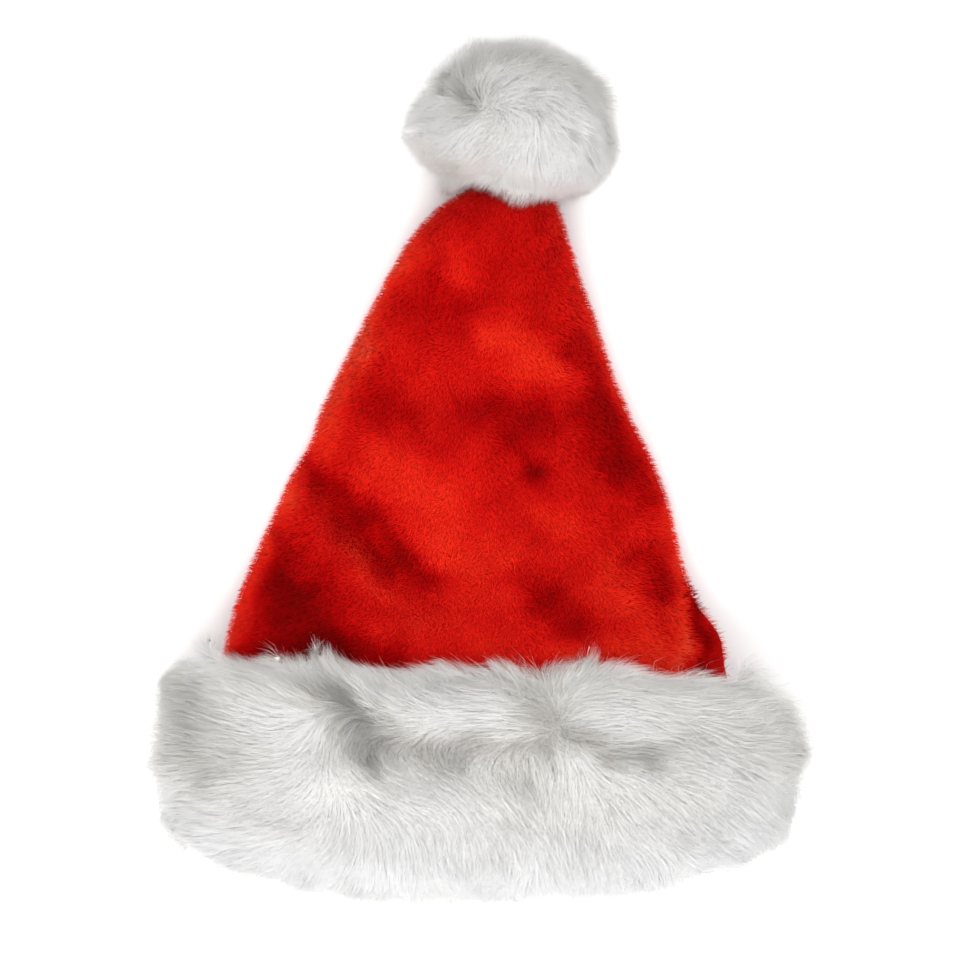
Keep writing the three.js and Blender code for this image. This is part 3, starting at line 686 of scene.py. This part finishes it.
@dataclass(frozen=True)
class LongFur:
    """How long fur lies on what it grows from. Lengths are in metres.

    lie is the height at which the tips come to rest and lift how steeply the strands set out. settle is
    how much of a gap each step closes, stiff how far a strand keeps its way against the comb, stray how
    far strands set out at random, loose the share of strands that stand up from the rest, and room how
    far the fur keeps off the cloth that its body sits on. One strand in guides leads a lock.
    """

    length: float
    lie: float
    lift: float
    settle: float
    stiff: float = 0.5
    loose: float = 0.14
    loose_settle: float = 0.15
    stray: float = 0.22
    steps: int = 2
    varies: float = 0.25
    clump: float = 0.12
    guides: int = 120
    frizz: float = 0.6 * MM
    room: float = 3.5 * MM
    lowest: float = 0.3 * MM

    def grow(
        self,
        surface: Surface,
        seat: Surface,
        roots: Array,
        facing: Array,
        trim: Array,
        comb: Callable[[Array, Array], Array],
        rng: np.random.Generator,
    ) -> tuple[Array, Array]:
        """Lets each strand march over the surface, out where it curves away and down where it can lie.

        Args:
            surface: what the fur grows from.
            seat: the cloth beside it that the fur stays clear of.
            roots: the strands' roots.
            facing: the outward directions at the roots.
            trim: each strand's length as a share of the full one.
            comb: gives the combed direction at places that face a way.
            rng: the random numbers.

        Returns:
            The stations of each strand, and the outward directions there.
        """
        count = len(roots)
        length = self.length * trim * (1 + self.varies * rng.uniform(-1, 1, count))
        length = length * (1 + 0.2 * mottle(roots, 22))
        stride = (length / self.steps)[:, None]
        tuft = 1 + 0.4 * mottle(roots, 12, 5.0) + 0.12 * rng.uniform(-1, 1, count)
        point, wish = roots, comb(roots, facing)
        sure = np.minimum(np.linalg.norm(wish, axis=1, keepdims=True), 1)
        loose = rng.random((count, 1)) < self.loose
        lift = self.lift + 0.5 * (1 - sure) + 0.4 * loose
        heading = along_surface(wish, facing) * sure + lift * facing
        heading = unit(heading + self.stray * (1 + loose) * rng.normal(size=(count, 3)))
        settle = np.where(loose[:, 0], self.loose_settle, self.settle)
        stations, outs = [roots], [facing]
        for k in range(1, self.steps + 1):
            share = k / self.steps
            ahead = point + heading * stride
            near, out = surface.nearest(ahead)
            height = self.lie * tuft * (0.3 + 0.7 * trim) * (1 - (1 - share) ** 2)
            gap = ((ahead - near) * out).sum(1) - height
            ahead = ahead - out * np.where(gap < 0, gap, gap * settle)[:, None]
            beside, away = seat.nearest(ahead)
            off = ahead - beside
            distance = np.linalg.norm(off, axis=1)
            outside = (off * away).sum(1) > 0
            short = np.where(outside, self.room * tuft - distance, self.room * tuft + distance)
            push = np.where(outside[:, None], unit(off), away)
            close = distance < 2 * self.room
            ahead = ahead + push * (np.clip(short, 0, 2 * self.room) * close)[:, None]
            ahead = point + unit(ahead - point) * stride
            ahead[:, 2] = np.maximum(ahead[:, 2], self.lowest + 0.5 * MM * rng.random(count))
            wish = along_surface(comb(near, out), out)
            heading = unit(unit(ahead - point) * self.stiff + wish * (1 - self.stiff))
            point = ahead
            stations.append(point)
            outs.append(out)
        paths, outs = np.stack(stations, axis=1), np.stack(outs, axis=1)
        return self.tousle(paths, rng), outs

    def tousle(self, paths: Array, rng: np.random.Generator) -> Array:
        """Draws the strands' ends together into locks and bends each one a little."""
        guides = paths[:: self.guides]
        tree = KDTree(len(guides))
        for i, root in enumerate(guides[:, 0]):
            tree.insert(Vector(root), i)
        tree.balance()
        leader = np.array([tree.find(Vector(root))[1] for root in paths[:, 0]])
        share = np.linspace(0, 1, paths.shape[1])[None, :, None]
        drawn = paths + self.clump * share**1.4 * (guides[leader] - paths)
        bend = rng.normal(size=(len(paths), 1, 3)) * share
        quiver = rng.normal(size=paths.shape) * share
        return drawn + self.frizz * (0.7 * bend + 0.3 * quiver)


# The pieces of the hat


class Side(Enum):
    """The two sides of the hat as it lies."""

    TOP = "top"
    UNDER = "under"


# Painted light and shade on the crown's pile: the nap's light and dark patches, painted shade in its
# folds and pleat, and a painted shadow along the top of the cuff
CROWN_PAINTED_LIGHT = each(
    PaintedLightStroke,
    ((-13, 263), (-8, 256), 11, 0.16),
    ((8, 222), (34, 207), 11, 0.34),
    ((-38, 157), (-18, 135), 17, 0.26),
    ((36, 134), (44, 126), 9, 0.16),
    ((-20, 116), (12, 111), 9, 0.2),
    ((64, 106), (76, 84), 12, 0.26),
    ((94, 150), (101, 62), 6, 0.24),
    ((42, 64), (98, 64), 8, 0.26),
    ((-62, 113), (-48, 92), 5, 0.24),
    ((-25, 78), (10, 62), 14, 0.12),
    ((4, 94), (14, 88), 9, 0.14),
    ((-6, 178), (6, 172), 11, -0.1),
    ((-74, 104), (-66, 94), 7, -0.14),
    ((-34, 262), (-58, 214), 8, 0.22),
    ((-58, 214), (-80, 168), 8, 0.26),
    ((-92, 150), (-104, 116), 7, 0.24),
    ((-104, 116), (-122, 72), 5, 0.22),
    ((58, 226), (70, 196), 6, 0.16),
    ((0, 276), (30, 250), 18, -0.1),
    ((-28, 240), (-6, 234), 14, -0.22),
    ((44, 213), (56, 202), 9, -0.24),
    ((-48, 190), (-28, 173), 12, -0.22),
    ((6, 188), (28, 180), 9, -0.26),
    ((58, 186), (68, 158), 11, -0.32),
    ((66, 158), (82, 143), 9, -0.18),
    ((78, 110), (90, 98), 9, -0.3),
    ((30, 91), (46, 81), 10, -0.26),
    ((-98, 88), (-76, 72), 17, -0.42),
    ((-102, 114), (-86, 94), 11, -0.26),
    ((-112, 62), (-40, 62), 9, -0.3),
    ((-44, 112), (-30, 103), 9, -0.22),
    ((-96, 124), (-88, 116), 7, -0.2),
    ((-78, 154), (-55, 132), 8, -0.3),
    ((-55, 132), (-30, 102), 9, -0.16),
    ((17, 172), (26, 156), 7, -0.24),
    ((26, 156), (36, 141), 7, -0.24),
    ((-90, 162), (-96, 152), 5, -0.26),
    ((106, 98), (106, 50), 4, -0.5),
    ((112, 88), (119, 52), 7, -0.2),
    ((111, 90), (117, 70), 5, 0.12),
    ((117, 70), (119, 60), 5, 0.1),
)

# Painted light and shade on the cuff: painted shade in its creases and towards its left end, lighter
# tufts, and its front rim painted lighter where the key light falls on it
CUFF_PAINTED_LIGHT = each(
    PaintedLightStroke,
    ((-85, 54), (-73, 43), 8, -0.26),
    ((-73, 43), (-63, 28), 8, -0.3),
    ((-63, 28), (-54, 20), 9, -0.22),
    ((-50, 16), (30, 17), 9, -0.34),
    ((-58, 34), (-46, 26), 9, -0.18),
    ((-42, 42), (0, 36), 11, 0.16),
    ((24, 40), (40, 27), 9, -0.2),
    ((40, 32), (53, 26), 6, -0.26),
    ((52, 17), (84, 13), 7, -0.2),
    ((84, 13), (106, 28), 7, -0.16),
    ((60, 34), (82, 31), 8, 0.2),
    ((46, 12), (60, 8), 7, 0.18),
    ((22, 3), (26, -16), 3, -0.16),
    ((-148, 44), (-140, 0), 16, -0.24),
    ((-146, 66), (-130, 60), 9, 0.16),
    ((-110, 36), (-98, 30), 8, 0.2),
    ((-79, 21), (-74, 17), 5, 0.2),
    ((-92, 8), (-84, 4), 8, 0.2),
    ((130, 46), (152, 20), 14, -0.03),
    ((104, 20), (128, 4), 12, 0.08),
    ((-120, -30), (110, -42), 40, 0.1),
    ((-150, -16), (-118, -44), 14, 0.3),
    ((-118, -44), (118, -52), 14, 0.3),
    ((118, -44), (150, -16), 14, 0.3),
)

CUFF_COMBED = each(
    CombStroke,
    ((-150, 30), 181, 28),
    ((-148, -10), 188, 26),
    ((-138, 60), 158, 18),
    ((-120, -16), 198, 26),
    ((-112, 40), 172, 22),
    ((-98, 12), 188, 20),
    ((-88, -24), 222, 24),
    ((-112, 62), 140, 16),
    ((-84, 60), 112, 12),
    ((-56, 58), 134, 16),
    ((-26, 52), 152, 16),
    ((14, 52), 150, 14),
    ((-40, 38), 178, 18),
    ((-2, 34), 182, 16),
    ((22, 36), 172, 12),
    ((-66, 22), -58, 16),
    ((-46, 4), -34, 18),
    ((-10, -2), -38, 22),
    ((-24, -26), -78, 24),
    ((36, 56), 48, 14),
    ((60, 58), 66, 14),
    ((84, 54), -22, 14),
    ((104, 50), -20, 16),
    ((126, 50), 20, 16),
    ((148, 44), 30, 16),
    ((56, 38), 6, 12),
    ((30, 6), -82, 16),
    ((52, 16), -36, 16),
    ((74, 33), -8, 18),
    ((100, 25), -14, 20),
    ((80, 0), -38, 22),
    ((48, -14), -76, 20),
    ((110, -6), -34, 22),
    ((152, 12), -14, 24),
    ((140, -20), -46, 22),
    ((-120, -46), 236, 24),
    ((-60, -52), 256, 30),
    ((0, -56), 270, 30),
    ((60, -52), 285, 30),
    ((112, -42), 308, 26),
)

CUFF_PUSHES = each(Push, ((54, 72), (0, -5), 9))

POMPOM_COMBED = each(
    CombStroke,
    ((-28, 352), 150, 12),
    ((-6, 366), 115, 12),
    ((20, 366), 80, 12),
    ((45, 362), 35, 12),
    ((60, 345), 5, 12),
    ((66, 325), -25, 12),
    ((62, 305), -45, 12),
    ((48, 292), -80, 10),
    ((22, 290), 258, 12),
    ((5, 298), 236, 10),
    ((-10, 306), 222, 10),
    ((-30, 316), 190, 12),
    ((-38, 325), 180, 10),
    ((-15, 328), 190, 12),
    ((-9, 350), 80, 10),
    ((6, 344), 40, 10),
    ((18, 340), 0, 12),
    ((36, 332), -36, 14),
    ((46, 312), -72, 12),
    ((24, 316), 258, 12),
    ((8, 320), 226, 12),
)

POMPOM_PUSHES = each(
    Push,
    ((-20, 362), (4, -2), 14),
    ((-34, 344), (6, 0), 14),
    ((62, 350), (-5, -1), 14),
    ((68, 332), (-4, 0), 12),
    ((-38, 320), (-3, 0), 14),
    ((-30, 296), (3, 1), 12),
    ((54, 298), (4, -4), 15),
    ((2, 290), (0, 7), 10),
)

# Painted light and shade on the pompom: painted shade over its far and right sides, in its dimple and
# crease and by its neck, and painted highlights on its lit lobes
POMPOM_PAINTED_LIGHT = each(
    PaintedLightStroke,
    ((-10, 362), (55, 358), 16, -0.1),
    ((60, 350), (66, 318), 12, -0.12),
    ((20, 326), (44, 304), 16, 0.2),
    ((44, 334), (56, 316), 5, 0.16),
    ((-10, 340), (-4, 353), 6, -0.14),
    ((-18, 344), (-12, 338), 8, -0.22),
    ((-8, 335), (14, 330), 5, -0.05),
    ((-32, 324), (-12, 316), 10, 0.18),
    ((-26, 306), (-14, 300), 8, -0.24),
    ((4, 348), (20, 338), 8, 0.1),
)

CROWN_COMBED = each(
    CombStroke,
    ((0, 270), 262, 40),
    ((-30, 200), 250, 40),
    ((50, 200), 292, 40),
    ((-70, 140), 222, 36),
    ((0, 140), 268, 40),
    ((70, 140), 300, 36),
    ((-100, 90), 214, 36),
    ((-20, 80), 262, 40),
    ((60, 80), 290, 40),
    ((98, 120), 352, 14),
    ((100, 75), 350, 14),
    ((122, 68), 15, 9),
    ((114, 84), 30, 8),
    ((-88, 168), 190, 12),
    ((14, 194), 320, 12),
    ((-24, 212), 200, 14),
)

CROWN_PUSHES = each(
    Push,
    ((116, 73), (4, 0), 12),
    ((-92, 170), (3, 0), 12),
)


@dataclass
class Crown:
    """The red crown: one cloth sewn into a cone, folded flat, with a short cut pile outside.

    A point is on the inner skin if there is cloth above and below it, past its own wall. The pile stops
    where the cuff or the pompom lies within covered_within of it.
    """

    node: bpy.types.Object
    pile: float = 4.8 * MM
    drawn_in: float = 4.4 * MM
    wall: float = 2.2 * MM
    strands_on_top: int = 100_000
    strands_under: int = 14_000
    strand_width: float = 0.26 * MM
    wider_under: float = 1.5
    covered_within: float = 9 * MM
    halved_at: float = 150 * MM
    top_faces: float = -0.15
    flat: tuple[float, float] = (0.58, 0.352)
    flat_area: float = 0.118
    inside: Array = field(init=False)
    surface: Surface = field(init=False)

    def build(self) -> bpy.types.Object:
        """Makes the cloth: the CAD crown smoothed, its outer skin drawn in to leave room for the pile."""
        piece = copy_of(self.node, "crown_cloth")
        bpy.ops.object.mode_set(mode="EDIT")
        bpy.ops.mesh.select_all(action="SELECT")
        bpy.ops.mesh.tris_convert_to_quads(
            face_threshold=math.radians(50), shape_threshold=math.radians(60)
        )
        bpy.ops.mesh.select_all(action="DESELECT")
        bpy.ops.mesh.edges_select_sharp(sharpness=math.radians(70))
        bpy.ops.transform.edge_crease(value=1.0)
        bpy.ops.object.mode_set(mode="OBJECT")
        apply_modifier(piece, "SUBSURF", levels=1, render_levels=1)
        move_points(piece, pushed(CROWN_PUSHES, Surface(piece).points))
        surface = Surface(piece)
        inside = self.inner_points(surface)
        depth = np.minimum(self.drawn_in, 0.6 * surface.thickness(12 * MM))
        drawn = surface.points - surface.normals * np.where(inside, 0, depth)[:, None]
        drawn[:, 2] = np.maximum(drawn[:, 2], FLOOR_GAP)
        move_points(piece, drawn)
        piece.data.materials.append(material_of(RED_FOOT))
        piece.data.materials.append(RED_KNIT.build())
        corners = [inside[list(face.vertices)].mean() for face in piece.data.polygons]
        piece.data.polygons.foreach_set("material_index", (np.array(corners) > 0.5).astype(np.int32))
        self.inside, self.surface = inside, Surface(piece)
        store_dye_and_shading(piece, self.dye_and_shading(self.surface.points, self.surface.normals))
        return piece

    def inner_points(self, surface: Surface) -> Array:
        """Tells which vertices belong to the inner skin, those with cloth both above and below them."""
        off = surface.points + surface.normals * self.wall
        return np.array([surface.hit(p, UP, TALLEST) and surface.hit(p, -UP, TALLEST) for p in off])

    def dye_and_shading(self, places: Array, facing: Array) -> Array:
        """The dye at some places of the outer skin, with painted light and shade: the nap's patches from
        the strokes, and a painted highlight where the cloth turns away at its edges.
        """
        # top marks the upward side, which alone takes the painted light and shade; rim marks its edges,
        # which take a painted highlight
        top = ramp(facing[:, 2], -0.2, 0.3)
        rim = 1 - ramp(facing[:, 2], 0.35, 0.85)
        cloud = 0.04 * mottle(places, 26) + 0.06 * mottle(places, 11, 7.0)
        cloud += 0.04 * mottle(places, 4, 2.0)
        return 0.5 + cloud + top * (painted_light_at(CROWN_PAINTED_LIGHT, places) + 0.25 * rim)

    def grow(self, side: Side, hidden_by: Sequence[Surface], seed: int) -> list[bpy.types.Object]:
        """Grows the pile of one side.

        Args:
            side: the side.
            hidden_by: the surfaces of the cuff and the pompom, under which no pile shows.
            seed: for the random numbers.

        Returns:
            The pieces of pile.
        """
        rng = np.random.default_rng(seed)
        surface = self.surface
        on_top = side is Side.TOP
        outer = ~self.inside[surface.corners].any(axis=1)
        keep = outer * ((surface.facing[:, 2] > self.top_faces) == on_top)
        looks = zip(surface.middles, surface.facing, strict=True)
        covered = [any(h.hit(at, out, self.covered_within) for h in hidden_by) for at, out in looks]
        keep = keep * ~np.array(covered)
        count = self.strands_on_top if on_top else self.strands_under
        roots, facing = surface.scatter(count, keep.astype(float), rng)
        swirl = np.stack([mottle(roots, 14, 1.0), mottle(roots, 14, 4.0), np.zeros(count)], axis=1)
        wish = combed(CROWN_COMBED, roots) + 0.8 * swirl - 0.3 * UP * np.sign(facing[:, 2:3])
        rim = (1 - ramp(np.abs(facing[:, 2]), 0.2, 0.8))[:, None]
        wish = wish + rim * unit(facing * [1, 1, 0])
        lying = along_surface(wish, facing)
        lying = unit(lying + 0.35 * rng.normal(size=(count, 3)))
        length = self.pile * (1 + 0.3 * rng.uniform(-1, 1, (count, 1))) * (1 - 0.25 * rim)
        knee = roots + length * 0.5 * unit(lying * 0.5 + facing)
        tip = knee + length * 0.5 * unit(lying + facing * 0.7)
        paths = np.stack([roots - facing * 0.3 * MM, knee, tip], axis=1)
        paths[:, :, 2] = np.maximum(paths[:, :, 2], 0.3 * MM)
        out = np.repeat(facing[:, None], 3, axis=1)
        dye_and_shading = self.dye_and_shading(roots, facing) + 0.02 * rng.normal(size=count)
        widths = self.strand_width * (1 + 0.3 * rng.uniform(-1, 1, count))
        parts = {"crown_pile_under": np.ones(count, bool)}
        if on_top:
            upper = roots[:, 1] >= self.halved_at
            parts = {"crown_pile_top_upper": upper, "crown_pile_top_lower": ~upper}
        else:
            widths = widths * self.wider_under
        made = []
        for name, part in parts.items():
            ribbons = Ribbons(name, material_of(RED_STRANDS), roll=0.8, soft=0.9, round=0.25)
            made.append(ribbons.build(paths[part], out[part], widths[part], dye_and_shading[part], seed + 1))
        return made


@dataclass
class FurPiece:
    """A soft body under long white fur, from a CAD node, and the fur on it.

    The body sits on its seat, the crown's cloth, and has no fur within bare_within of it. white is the
    dye of fur that no stroke of painted light or shade has touched.
    """

    node: bpy.types.Object
    seat: Surface
    name: str
    voxel: float
    smoothing: int
    pushes: Sequence[Push]
    drawn_in: float
    drawn_under: float
    fur: LongFur
    strands: int
    strokes: Sequence[PaintedLightStroke]
    strand_width: float = 0.2 * MM
    white: float = 0.62
    bare_within: float = 5 * MM
    bare: Array = field(init=False)
    surface: Surface = field(init=False)

    def build(self) -> bpy.types.Object:
        """Makes the body: the CAD solid smoothed and drawn in for the fur, but not where it sits."""
        piece = copy_of(self.node, f"{self.name}_body")
        apply_modifier(piece, "REMESH", mode="VOXEL", voxel_size=self.voxel, use_smooth_shade=True)
        apply_modifier(piece, "SMOOTH", factor=0.5, iterations=self.smoothing)
        keep_whole(piece)
        move_points(piece, pushed(self.pushes, Surface(piece).points))
        surface = Surface(piece)
        near, _ = self.seat.nearest(surface.points)
        reach = near - surface.points
        distance = np.linalg.norm(reach, axis=1)
        faces_seat = ramp((unit(reach) * surface.normals).sum(1), 0.0, 0.6)
        faces_seat = faces_seat * (1 - ramp(distance, 4 * MM, 9 * MM))
        under = ramp(-surface.normals[:, 2], 0.3, 0.9)
        depth = (self.drawn_in * (1 - under) + self.drawn_under * under) * (1 - faces_seat)
        depth = np.minimum(depth, np.maximum(distance - 2 * MM, 0))
        depth = np.minimum(depth, 0.4 * surface.thickness(30 * MM))
        drawn = surface.points - surface.normals * depth[:, None]
        drawn[:, 2] = np.maximum(drawn[:, 2], FLOOR_GAP)
        move_points(piece, drawn)
        apply_modifier(piece, "SMOOTH", factor=0.5, iterations=3)
        piece.data.materials.append(material_of(WHITE_FOOT))
        bpy.ops.object.shade_smooth()
        self.surface = Surface(piece)
        looks = zip(self.surface.middles, self.surface.facing, strict=True)
        self.bare = np.array([self.seat.hit(place, out, self.bare_within) for place, out in looks])
        store_dye_and_shading(piece, self.dye_and_shading(self.surface.points, self.surface.points, self.surface.normals))
        return piece

    def dye_and_shading(self, roots: Array, seen: Array, facing: Array) -> Array:
        """The dye of fur that grows at some places and shows at others, with painted light and shade on
        its upward side.
        """
        # top marks the upward side, which alone takes the painted light and shade of the strokes
        top = ramp(facing[:, 2], -0.1, 0.4)
        cloud = 0.04 * mottle(roots, 30, 2.0) + 0.08 * mottle(roots, 6, 6.0)
        return self.white + cloud + top * painted_light_at(self.strokes, seen)

    def comb(self, places: Array, facing: Array) -> Array:
        """The combed direction at some places that face a way."""
        raise NotImplementedError

    def trim(self, places: Array) -> Array:
        """The length of the fur at some places, as a share of its full length."""
        raise NotImplementedError

    def grow(self, seed: int, parts: Sequence[str] = ("",)) -> list[bpy.types.Object]:
        """Grows the fur, in as many pieces as there are names.

        Args:
            seed: for the random numbers.
            parts: the pieces' names, from left to right.

        Returns:
            The pieces of fur.
        """
        rng = np.random.default_rng(seed)
        surface = self.surface
        keep = (~self.bare) * (1 - 0.65 * ramp(-surface.facing[:, 2], 0.2, 0.8))
        roots, facing = surface.scatter(self.strands, keep, rng)
        trim = self.trim(roots)
        paths, outs = self.fur.grow(surface, self.seat, roots, facing, trim, self.comb, rng)
        dye_and_shading = self.dye_and_shading(roots, paths[:, 1:].mean(axis=1), facing) + 0.02 * rng.normal(size=self.strands)
        widths = self.strand_width * trim * (1 + 0.35 * rng.uniform(-1, 1, self.strands))
        order = np.argsort(roots[:, 0])
        made = []
        for name, part in zip(parts, np.array_split(order, len(parts)), strict=True):
            label = "_".join(filter(None, [self.name, "fur", name]))
            ribbons = Ribbons(label, material_of(WHITE_STRANDS), roll=0.6, soft=0.95, round=0.05)
            made.append(ribbons.build(paths[part], outs[part], widths[part], dye_and_shading[part], seed + 1))
        return made


@dataclass
class Cuff(FurPiece):
    """The band of fur round the mouth."""

    name: str = "cuff"
    voxel: float = 4.0 * MM
    smoothing: int = 26
    pushes: Sequence[Push] = CUFF_PUSHES
    drawn_in: float = 8.0 * MM
    drawn_under: float = 3.5 * MM
    fur: LongFur = LongFur(length=20 * MM, lie=6.0 * MM, lift=0.4, settle=0.7)
    strands: int = 138_000
    strokes: Sequence[PaintedLightStroke] = CUFF_PAINTED_LIGHT

    def comb(self, places: Array, facing: Array) -> Array:
        """Follows the comb strokes on top, and runs out over the rim and back underneath."""
        level = np.zeros(len(places))
        swirl = np.stack([mottle(places, 22, 1.5), mottle(places, 22, 8.5), level], axis=1)
        under = ramp(-facing[:, 2], -0.1, 0.6)[:, None]
        plain = np.array([0.0, -1.0, -0.4]) + unit(places * [1, 0, 0]) * 0.4
        return (combed(CUFF_COMBED, places) + 0.4 * swirl) * (1 - under) + plain * under - 0.12 * UP

    def trim(self, places: Array) -> Array:
        """Short at the lip over the crown, a little shorter again at the front rim."""
        front = ramp(-places[:, 1], 24 * MM, 52 * MM)
        lip = 0.4 * ramp(places[:, 1], 40 * MM, 62 * MM)
        lip += 0.15 * ramp(places[:, 1], 64 * MM, 72 * MM)
        return 1 - lip - 0.3 * front


@dataclass
class Pompom(FurPiece):
    """The ball of fur on the tip."""

    name: str = "pompom"
    voxel: float = 3.5 * MM
    smoothing: int = 36
    pushes: Sequence[Push] = POMPOM_PUSHES
    drawn_in: float = 9.5 * MM
    drawn_under: float = 4.0 * MM
    fur: LongFur = LongFur(length=15 * MM, lie=9.0 * MM, lift=0.8, settle=0.5, stiff=0.6, loose=0.25)
    strands: int = 62_000
    strokes: Sequence[PaintedLightStroke] = POMPOM_PAINTED_LIGHT

    def comb(self, places: Array, facing: Array) -> Array:
        """Follows the comb strokes on top, and runs on down the sides of the ball."""
        swirl = np.stack([mottle(places, 12, shift) for shift in (1.5, 8.5, 5.5)], axis=1)
        level = ramp(np.abs(facing[:, 2]), 0.1, 0.6)[:, None]
        return combed(POMPOM_COMBED, places) + 0.4 * swirl - 0.5 * (1 - level) * UP

    def trim(self, places: Array) -> Array:
        """Shorter at the far side, and where the ball meets the crown so that the red shows up to it."""
        neck = 1 - ramp(places[:, 1], 292 * MM, 316 * MM)
        return 1 - 0.4 * neck - 0.25 * ramp(places[:, 1], 335 * MM, 358 * MM)


@dataclass
class Studio:
    """The floor, the light and the camera straight above the hat, as a product picture is taken."""

    view_centre: tuple[float, float] = (0.0, 0.15)
    view_width: float = 0.48
    camera_height: float = 2.4
    sensor: float = 36.0
    floor_side: float = 8.0
    lit_spot: tuple[float, float, float] = (0.0, 0.12, 0.03)

    def build(self) -> None:
        """Makes floor, world, lights and camera."""
        bpy.ops.mesh.primitive_plane_add(size=self.floor_side, location=(0, 0, 0))
        floor = bpy.context.active_object
        floor.name = "studio_floor"
        floor.data.materials.append(FloorFinish().build())
        world = bpy.data.worlds.new("studio_white")
        world.use_nodes = True
        sky = world.node_tree.nodes["Background"]
        sky.inputs["Color"].default_value = linear("ffffff")
        sky.inputs["Strength"].default_value = 1.0
        bpy.context.scene.world = world
        self.area("key", place=(-0.35, -1.0, 1.5), side=1.2, power=18.0)
        self.area("top", place=(0.2, 0.4, 1.9), side=1.6, power=12.0)
        self.camera()
        bpy.context.scene.view_settings.view_transform = "Standard"

    def area(self, name: str, place: tuple[float, float, float], side: float, power: float) -> None:
        """Adds a soft square light, its side in metres and its power in watts, that looks at the hat."""
        turn = (Vector(place) - Vector(self.lit_spot)).to_track_quat("Z", "Y").to_euler()
        bpy.ops.object.light_add(type="AREA", location=place, rotation=turn)
        lamp = bpy.context.active_object
        lamp.name = f"{name}_light"
        lamp.data.shape = "SQUARE"
        lamp.data.size = side
        lamp.data.energy = power

    def camera(self) -> None:
        """Adds the camera, straight above, with +Y up in the picture."""
        place = (*self.view_centre, self.camera_height)
        bpy.ops.object.camera_add(location=place, rotation=(0, 0, 0))
        camera = bpy.context.active_object
        camera.name = "camera"
        camera.data.sensor_width = self.sensor
        camera.data.lens = self.sensor * self.camera_height / self.view_width
        camera.data.clip_start = 0.05
        bpy.context.scene.camera = camera


def settle(pieces: Sequence[bpy.types.Object], slot: str) -> None:
    """Lets pieces ride on the hat's one body."""
    for piece in pieces:
        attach(piece, "root")
        LOG.info("%s: %d faces", piece.name, len(piece.data.polygons))


def main() -> None:
    """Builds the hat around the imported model, piece by piece."""
    logging.basicConfig(level=logging.INFO, format="%(name)s %(message)s")
    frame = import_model()
    nodes = frame["nodes"]
    Studio().build()

    crown = Crown(nodes["crown"])
    cloth = crown.build()

    cuff = Cuff(nodes["cuff"], crown.surface)
    cuff_body = cuff.build()
    pompom = Pompom(nodes["pompom"], crown.surface)
    pompom_body = pompom.build()

    hiding = [cuff.surface, pompom.surface]
    pile = crown.grow(Side.TOP, hiding, seed=3) + crown.grow(Side.UNDER, hiding, seed=5)
    settle([cloth, *pile], "red_plush")
    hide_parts("crown")

    settle([cuff_body, *cuff.grow(seed=11, parts=("left", "middle", "right"))], "white_fur")
    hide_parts("cuff")

    settle([pompom_body, *pompom.grow(seed=23)], "white_fur")
    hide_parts("pompom")


if __name__ == "__main__":
    main()
